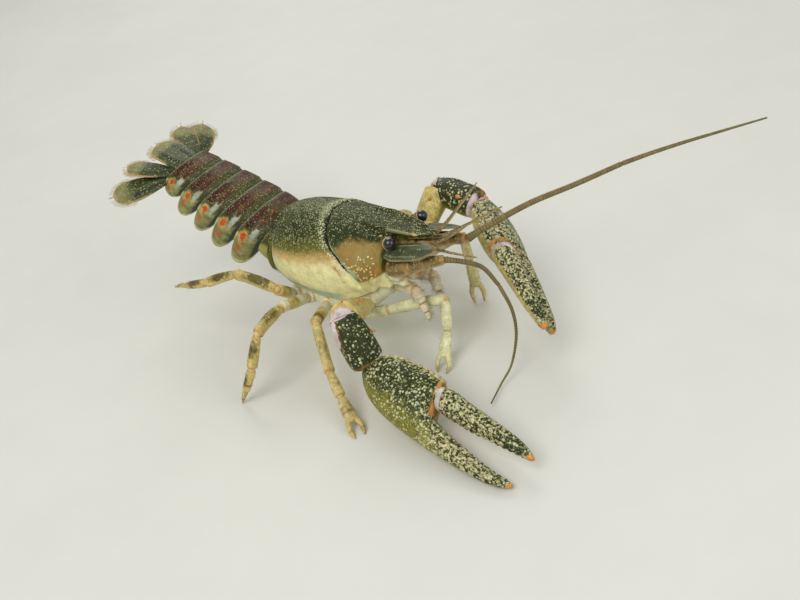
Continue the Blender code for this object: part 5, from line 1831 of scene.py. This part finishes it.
def mark_leg(piece, key):
    pair = key.split("_")[0]
    share = read(piece, "share")
    top = read(piece, "top")
    hip = kept(piece, "hip")
    digit = kept(piece, "digit")
    soft = kept(piece, "soft")
    shell = 1.0 - soft
    body = bump(share - 0.45, 0.38)
    mark(piece, dark=LEG_DARK[pair] * step(top, 0.25, 0.8) * body * (1 - 0.8 * hip) * shell
         * (1 - 0.5 * digit))
    # The legs of the left side, away from the lamps, get only half as much pale cream: painted
    # shade.
    pale = LEG_PALE[pair] * (0.5 if "left" in key else 1.0)
    second = bump(hip - 0.4, 0.1)
    near_body = np.maximum(bump(hip - 1.0, 0.2), second * fall(share, 0.25, 0.6))
    white_end = second * step(share, 0.74, 0.84) * (pair == "leg4")
    mark(piece, pale=pale * (1 - 0.4 * digit) * shell,
         white=np.maximum(near_body, white_end) * shell)
    joint = np.maximum(step(share, 0.90, 0.97), fall(share, 0.03, 0.10))
    stain = 0.6 * joint * (1 - 0.5 * pale) + 0.55 * digit * step(share, 0.45, 0.9)
    mark(piece, orange=stain * shell * (1 - 0.6 * hip))
    band = 0.0 * share
    if pair == "leg3" and key.endswith("upper"):
        band = 0.9 * bump(share - 0.82, 0.14) * second
    if key.endswith("foot"):
        band = bump(share - 0.62, 0.08) * (0.8 - 0.7 * LEG_PALE[pair])
    mark(piece, band=band * shell,
         soft_skin=soft,
         dust=0.25 * LEG_DARK[pair] * step(top, 0.4, 0.8) * shell)


leg_finish = finish(
    "leg_shell_finish", (206, 184, 112),
    layers=(
        ("pale", (224, 222, 178), 700, 0.3, 0.40),
        ("dark", (92, 82, 32), 1300, 1.2, 0.40),
        ("white", (222, 216, 182), 900, 0.5, 0.40),
        ("band", (126, 90, 44), 900, 0.8, 0.40),
        ("orange", (196, 140, 76), 900, 0.8, 0.45),
        ("soft_skin", (208, 184, 128), 900, 0.2, 0.20),
    ),
    dots=(("dust", (214, 206, 156), 1800, 0.36, 0.7),),
    roughness=0.45, mottle=0.4, coat=0.12,
)
for key, piece in legs.items():
    mark_leg(piece, key)
    dress(piece, leg_finish, "leg", key)
print("legs finished:", len(legs))

# %% [markdown]
# The plates of the breast and of the mouth are cream, stained with orange along their edges.

# %% Breast and mouth finish
cream_finish = finish(
    "cream_plate_finish", (232, 232, 194),
    layers=(("orange", (206, 146, 80), 700, 0.8, 0.40),
            ("grey", (130, 134, 104), 600, 0.9, 0.30)),
    mottle=0.25, roughness=0.4,
)
breast_points = places(breast)
knuckles = sum(bump(breast_points[:, 0] - root - 2.2, 0.7) for root in LEG_ROOTS)
mark(breast, orange=0.6 * knuckles * step(np.abs(breast_points[:, 1]), 6.5, 8.5))
mark(mouth, orange=0.75 * step(read(mouth, "share"), 0.7, 0.95),
     grey=0.4 * bump(read(mouth, "share") - 0.3, 0.2))
dress(breast, cream_finish, "pale_shell", "thorax")
dress(mouth, cream_finish, "pale_shell")
print("breast and mouth finished")

# %% [markdown]
# ## Finishes of the claws
# The palms are dark olive above, thickly strewn with cream dots, and yellower towards the
# outer edge. On the fingers the dots run together until cream and black are mixed in a
# worm-like pattern, and the tips are orange. The smaller left claw is marbled in this way all
# over. Below, the claws are pale. The bare skin at the wrist and the finger's hinge is lilac.

# %% Claw marks and finishes
def hand_places(piece, side):
    """Along, across and over a hand, in its own millimetres."""
    origin, forward, mesial, upward, size = hand_frame(side)
    away = (places(piece) - origin) / size
    return away @ forward, away @ mesial, away @ upward


def mark_hand(piece, side, is_finger):
    along, across, over = hand_places(piece, side)
    _, _, mesial, upward, _ = hand_frame(side)
    under = fall(facing(piece) @ upward, -0.75, -0.1)
    mark(piece, under=under)
    mesial_face = step(facing(piece) @ mesial, 0.35, 0.8)
    small = side > 0
    start = np.maximum(step(along, 13, 24), np.maximum(0.9 * mesial_face, 0.92 * small))
    worms = 0.46 * start * (1 - 0.4 * under)
    if is_finger:
        worms = 0.455 * (1 - 0.4 * under) + 0.0 * along
        worms = worms - 0.4 * bump(along - 37.2, 2.0) * step(over, -0.2, 0.4)
    mark(piece, worms=worms)
    outer = fall(across, -6.0, 1.0) * fall(along, 20, 30)
    mark(piece, yellow=outer * 0.95 * (not is_finger) * (1 - 0.5 * small))
    tip = step(along, 40.4, 41.1)
    brink = 17.0 + 0.40 * (6.2 - across)
    joint = bump(along - brink + 0.2, 0.28) * step(across, -0.8, 0.2) * (not is_finger)
    edge = 0.7 * bump(over, 0.5) * step(-across, 3.0, 4.0) * small * step(along, 3, 8)
    mark(piece, orange=np.maximum.reduce([tip, 0.95 * joint, edge * (not is_finger)]))
    open_by = 0.8 + (1.5 if small else 0.4) * bump(across - 3.4, 2.6)
    slit = step(along - brink, 0.0, 0.3) * fall(along - brink - open_by, 0.0, 0.5)
    slit = slit * step(across, 0, 1)
    root = fall(along, 0.2, 1.0) * (not is_finger)
    mark(piece, soft_skin=np.maximum(root, 0.9 * slit))
    bare = (1 - tip) * (1 - joint) * (1 - np.clip(slit, 0, 1))
    mark(piece, dots_big=(1.0 - 0.5 * under) * bare * (1 - 0.5 * step(along, 20, 28)),
         dots_small=(0.95 - 0.5 * under) * bare)


def mark_arm(piece, side, is_wrist):
    share = read(piece, "share")
    top = read(piece, "top")
    soft = kept(piece, "soft")
    hip = kept(piece, "hip")
    cuff = kept(piece, "cuff")
    faces = facing(piece)
    behind = faces @ np.array((-0.63, 0.73 * side, -0.25))
    inward = step(-side * faces[:, 1], -0.15, 0.35)
    crescent = edge = base = 0.0 * share
    if is_wrist:
        past = behind - 0.9 * share
        crescent = step(past, 0.32, 0.42) * fall(share, 0.42, 0.56)
        edge = bump(past - 0.30, 0.10) * fall(share, 0.46, 0.60)
        low = 0.9 * fall(top, 0.1, 0.45)
        yellow = 0.5 * fall(top, 0.35, 0.7)
        rim = step(share, 0.85, 0.90)
    else:
        base = np.maximum(0.92 * fall(share, 0.40, 0.72), 0.9 * step(share, 0.86, 0.90))
        low = np.maximum(0.9 * fall(top, 0.15, 0.6), 0.72 * inward)
        yellow = 1.0 - 0.6 * step(top, 0.6, 0.9)
        rim = step(share, 0.95, 0.97)
    shell = (1 - soft) * (1 - cuff) * (1 - np.maximum(crescent, edge))
    rim = rim * shell
    mark(piece, soft_skin=np.maximum.reduce([soft, 0.9 * cuff, crescent, 0.9 * rim * inward]),
         under=np.maximum(low, base) * shell + hip,
         yellow=yellow * shell)
    stain = 0.35 * bump(share - 0.6, 0.2) * inward * (not is_wrist)
    mark(piece, orange=np.maximum.reduce([
        0.4 * rim * (1 - inward), 0.1 * cuff, 0.5 * edge * (1 - soft), stain,
    ]))
    bare = step(top, 0.3, 0.6) * shell * (1 - rim) * (1 - base)
    mark(piece, dots_big=(0.7 if is_wrist else 0.35) * bare,
         dots_small=0.5 * bare)


claw_finish = finish(
    "claw_shell_finish", (48, 54, 27),
    layers=(
        ("yellow", (130, 124, 42), 800, 0.8, 0.45),
        ("under", (206, 188, 118), 600, 0.6, 0.40),
        ("worms", (206, 194, 150), 1500, 1.9, 0.11),
        ("orange", (206, 146, 72), 1100, 0.7, 0.35),
        ("soft_skin", (212, 196, 194), 900, 0.2, 0.25),
    ),
    dots=(
        ("dots_small", (150, 156, 92), 2100, 0.40, 0.8),
        ("dots_big", (204, 204, 162), 1350, 0.36, 0.85),
    ),
    roughness=0.47, mottle=0.45, dot_relief=0.9, relief=0.15, coat=0.04, gloss=0.2,
)
for key, piece in claws.items():
    side = 1 if "left" in key else -1
    if key.endswith("hand") or key.endswith("finger"):
        mark_hand(piece, side, key.endswith("finger"))
    else:
        mark_arm(piece, side, key.endswith("wrist"))
    dress(piece, claw_finish, "claw", key)
spine_finish = finish("claw_spine_finish", (204, 140, 78), mottle=0.5, mottle_scale=900)
knob_finish = finish("claw_knob_finish", (196, 182, 136), mottle=0.5, mottle_scale=900)
for piece in claw_extras:
    dress(piece, spine_finish if piece.name.endswith("spines") else knob_finish, "claw")
print("claws finished:", len(claws))

# %% [markdown]
# ## Finishes of the head
# The eye is smooth and nearly black, with a faint violet cast and a clear wet coat. Its
# stalk and the stalks of the feelers are olive brown. The feelers darken at each ring.

# %% Head finishes
eye_finish = finish("eye_black", (22, 19, 30), mottle=0.15, mottle_scale=1500,
                    roughness=0.12, relief=0.006, coat=1.0, pits=0.8, pit_scale=9000)
stalk_finish = finish(
    "stalk_finish", (134, 110, 64),
    layers=(
        ("under", (182, 164, 116), 700, 0.6, 0.40),
        ("dark", (70, 62, 34), 900, 1.1, 0.35),
        ("orange", (190, 126, 72), 900, 0.8, 0.45),
        ("soft_skin", (176, 154, 100), 900, 0.2, 0.25),
    ),
    dots=(("dust", (184, 178, 132), 2200, 0.36, 0.7),),
    roughness=0.45, coat=0.12,
)
feeler_finish = finish(
    "feeler_finish", (124, 108, 66),
    layers=(
        ("far", (112, 110, 62), 300, 0.5, 0.45),
        ("ring_edge", (66, 50, 30), 1500, 0.3, 0.35),
    ),
    mottle=0.3, roughness=0.45, coat=0.1,
)
scale_finish = finish(
    "feeler_scale_finish", (66, 72, 44),
    layers=(
        ("pale_stripe", (144, 146, 104), 1200, 0.9, 0.60),
        ("rim", (136, 128, 88), 900, 0.6, 0.40),
        ("orange", (206, 120, 54), 900, 0.5, 0.30),
    ),
    dots=(("dust", (180, 178, 136), 1700, 0.26, 0.8),),
)
jaw_finish = finish(
    "jaw_leg_finish", (220, 212, 180),
    layers=(("grey", (140, 144, 116), 800, 1.1, 0.30),
            ("orange", (200, 148, 86), 900, 0.8, 0.40)),
    mottle=0.3, roughness=0.4,
)


def mark_stalk(piece, orange_ends):
    share = read(piece, "share")
    top = read(piece, "top")
    soft = kept(piece, "soft")
    mark(piece, soft_skin=soft,
         under=fall(top, 0.15, 0.5) * (1 - soft),
         dark=0.7 * bump(share - 0.4, 0.25) * step(top, 0.5, 0.9) * (1 - soft))
    whip = kept(piece, "whip")
    mark(piece, orange=orange_ends * step(share, 0.86, 0.96) * (1 - soft) * (1 - whip),
         dust=0.7 * (1 - soft))


for side, word in SIDES.items():
    ball, stalk = eyes[side]
    dress(ball, eye_finish, "eye", "eye_" + word)
    for piece, ends, nodes in ((stalk, 0.0, ()), (stalks[side], 0.55, ("antenna_base_" + word,)),
                               (short_feelers[side], 0.45, ("antennule_" + word,))):
        mark_stalk(piece, ends)
        dress(piece, stalk_finish, "feeler", *nodes)
    scale = scales[side]
    edge = read(scale, "edge")
    share = read(scale, "share")
    mark(scale, pale_stripe=0.75 * bump(edge - 0.6, 0.07) * fall(share, 0.6, 0.8),
         rim=step(edge, 0.86, 0.95),
         orange=0.45 * step(share, 0.94, 0.99),
         dust=0.35 + 0.0 * share)
    dress(scale, scale_finish, "feeler", "antenna_scale_" + word)
    jaw = jaws[side]
    share = read(jaw, "share")
    mark(jaw, grey=0.35 * bump(share - 0.5, 0.25) * step(read(jaw, "top"), 0.4, 0.7),
         orange=0.8 * step(share, 0.88, 0.96) + 0.4 * fall(share, 0.2, 0.45))
    dress(jaw, jaw_finish, "pale_shell", "jaw_leg_" + word)

for key, piece in feelers.items():
    share = read(piece, "share")
    length = sum(np.linalg.norm(np.diff(curve_through(FEELER_PATHS[key], 12), axis=0), axis=1))
    mark(piece, ring_edge=bump((share * length / FEELER_RING) % 1.0 - 0.97, 0.16),
         far=share if key.endswith("far") else 0.0 * share)
    dress(piece, feeler_finish, "feeler", key)
print("head finished")

# %% [markdown]
# ## Bristles
# Fine bristles fringe the free edges of the tail fan and of the feeler scales, brush the jaw
# legs, and stand in small tufts along the feet. One bristle was modelled above; here it is
# planted in rows. Each bristle also gets a tiny patch on a flat lay-out of its row, so that
# its colour can be kept with the mesh.

# %% Bristles
def lay_flat(piece, master, flats):
    """A small patch for each bristle, at its root's place on the flat lay-out."""
    layer = piece.data.uv_layers.new(name="OFBake")
    each = len(master.data.vertices)
    corners = np.zeros(len(piece.data.loops), np.int32)
    piece.data.loops.foreach_get("vertex_index", corners)
    flats = np.asarray(flats, float)
    low = flats.min(axis=0)
    spread = np.maximum(flats.max(axis=0) - low, 1e-6)
    base = 0.02 + 0.95 * (flats - low) / spread
    turn = 2.4 * (corners % each)
    uv = base[corners // each] + 0.0015 * np.stack((np.cos(turn), np.sin(turn)), axis=-1)
    layer.data.foreach_set("uv", uv.ravel())


def blade_fringe(name, piece, count, length):
    """Bristles evenly along the free end of a fan blade."""
    points = places(piece)
    share = read(piece, "share")
    rim = points[((share > 0.6) & (read(piece, "edge") > 0.99)) | (share > 0.99)]
    middle = points[(share > 0.5) & (share < 0.6)].mean(axis=0)
    forward = unit(points[share > 0.99].mean(axis=0) - middle)
    aside = np.cross((0.0, 0.0, 1.0), forward)
    angles = np.arctan2((rim - middle) @ aside, (rim - middle) @ forward)
    order = np.argsort(angles)
    even = np.searchsorted(angles[order], np.linspace(angles.min(), angles.max(), count))
    chosen = rim[order[np.minimum(even, len(rim) - 1)]]
    rows = []
    for root in chosen:
        way = unit(root - middle) + 0.5 * forward
        way = way + np.array([random.uniform(-0.12, 0.12) for _ in range(3)])
        rows.append((root - way * 0.1, way, length * random.uniform(0.75, 1.1), 0.13,
                     (0, 0, -1.0)))
    fringe = plant(name, bristle, rows)
    lay_flat(fringe, bristle, chosen[:, :2])
    return fringe


bristle_finish = finish("bristle_finish", (188, 172, 126), mottle=0.3, mottle_scale=900,
                        roughness=0.55, coat=0.0, relief=0.02)
fringes = []
for key, piece in fan.items():
    fringes.append(blade_fringe("fringe_" + key, piece, count=110, length=1.7))
for side, word in SIDES.items():
    fringes.append(blade_fringe("fringe_scale_" + word, scales[side], count=70, length=1.1))


def tube_bristles(name, piece, count, length, chooser):
    """Bristles that stand on the chosen points of a limb and lean towards its end."""
    points = places(piece)
    normals = facing(piece)
    usable = np.flatnonzero(chooser(points, normals))
    rows = []
    flats = []
    for _ in range(count):
        index = usable[random.randrange(len(usable))]
        way = normals[index] + np.array([random.uniform(-0.35, 0.35) for _ in range(3)])
        way = way + np.array((0.35, 0.0, -0.25))
        rows.append((points[index] - normals[index] * 0.08, way, length * random.uniform(0.6, 1.1),
                     0.1, (0, 0, -1)))
        flats.append((points[index][0] + 3 * normals[index][1], points[index][2]))
    bristles = plant(name, bristle, rows)
    lay_flat(bristles, bristle, flats)
    return bristles


for side, word in SIDES.items():
    fringes.append(tube_bristles(
        "brush_jaw_" + word, jaws[side], count=260, length=1.5,
        chooser=lambda points, normals: ((points[:, 0] > 37.5) & (points[:, 2] < 18.5)
                                         & (normals[:, 1] * -side > -0.3)),
    ))
    for pair in ("leg2", "leg3", "leg4", "leg5"):
        foot = legs[f"{pair}_{word}_foot"]
        fringes.append(tube_bristles(
            f"bristles_{pair}_{word}", foot, count=60, length=0.7,
            chooser=lambda points, normals: points[:, 2] > 0.8,
        ))
fringes.append(tube_bristles("swimmeret_fringe", swimmerets, count=420, length=1.3,
                             chooser=lambda points, normals: np.abs(normals[:, 1]) > 0.5))
for fringe in fringes:
    dress(fringe, bristle_finish, "feeler")
print("bristle pieces:", len(fringes))

# %% [markdown]
# ## Closing
# The three masters are removed and the faces that are shown are counted.

# %% Closing
for master in (thorn, dome, bristle):
    bpy.data.objects.remove(master)
total = sum(len(item.data.loop_triangles) or len(item.data.polygons)
            for item in bpy.data.objects if item.type == "MESH" and not item.hide_render)
print("faces shown:", total)
import json
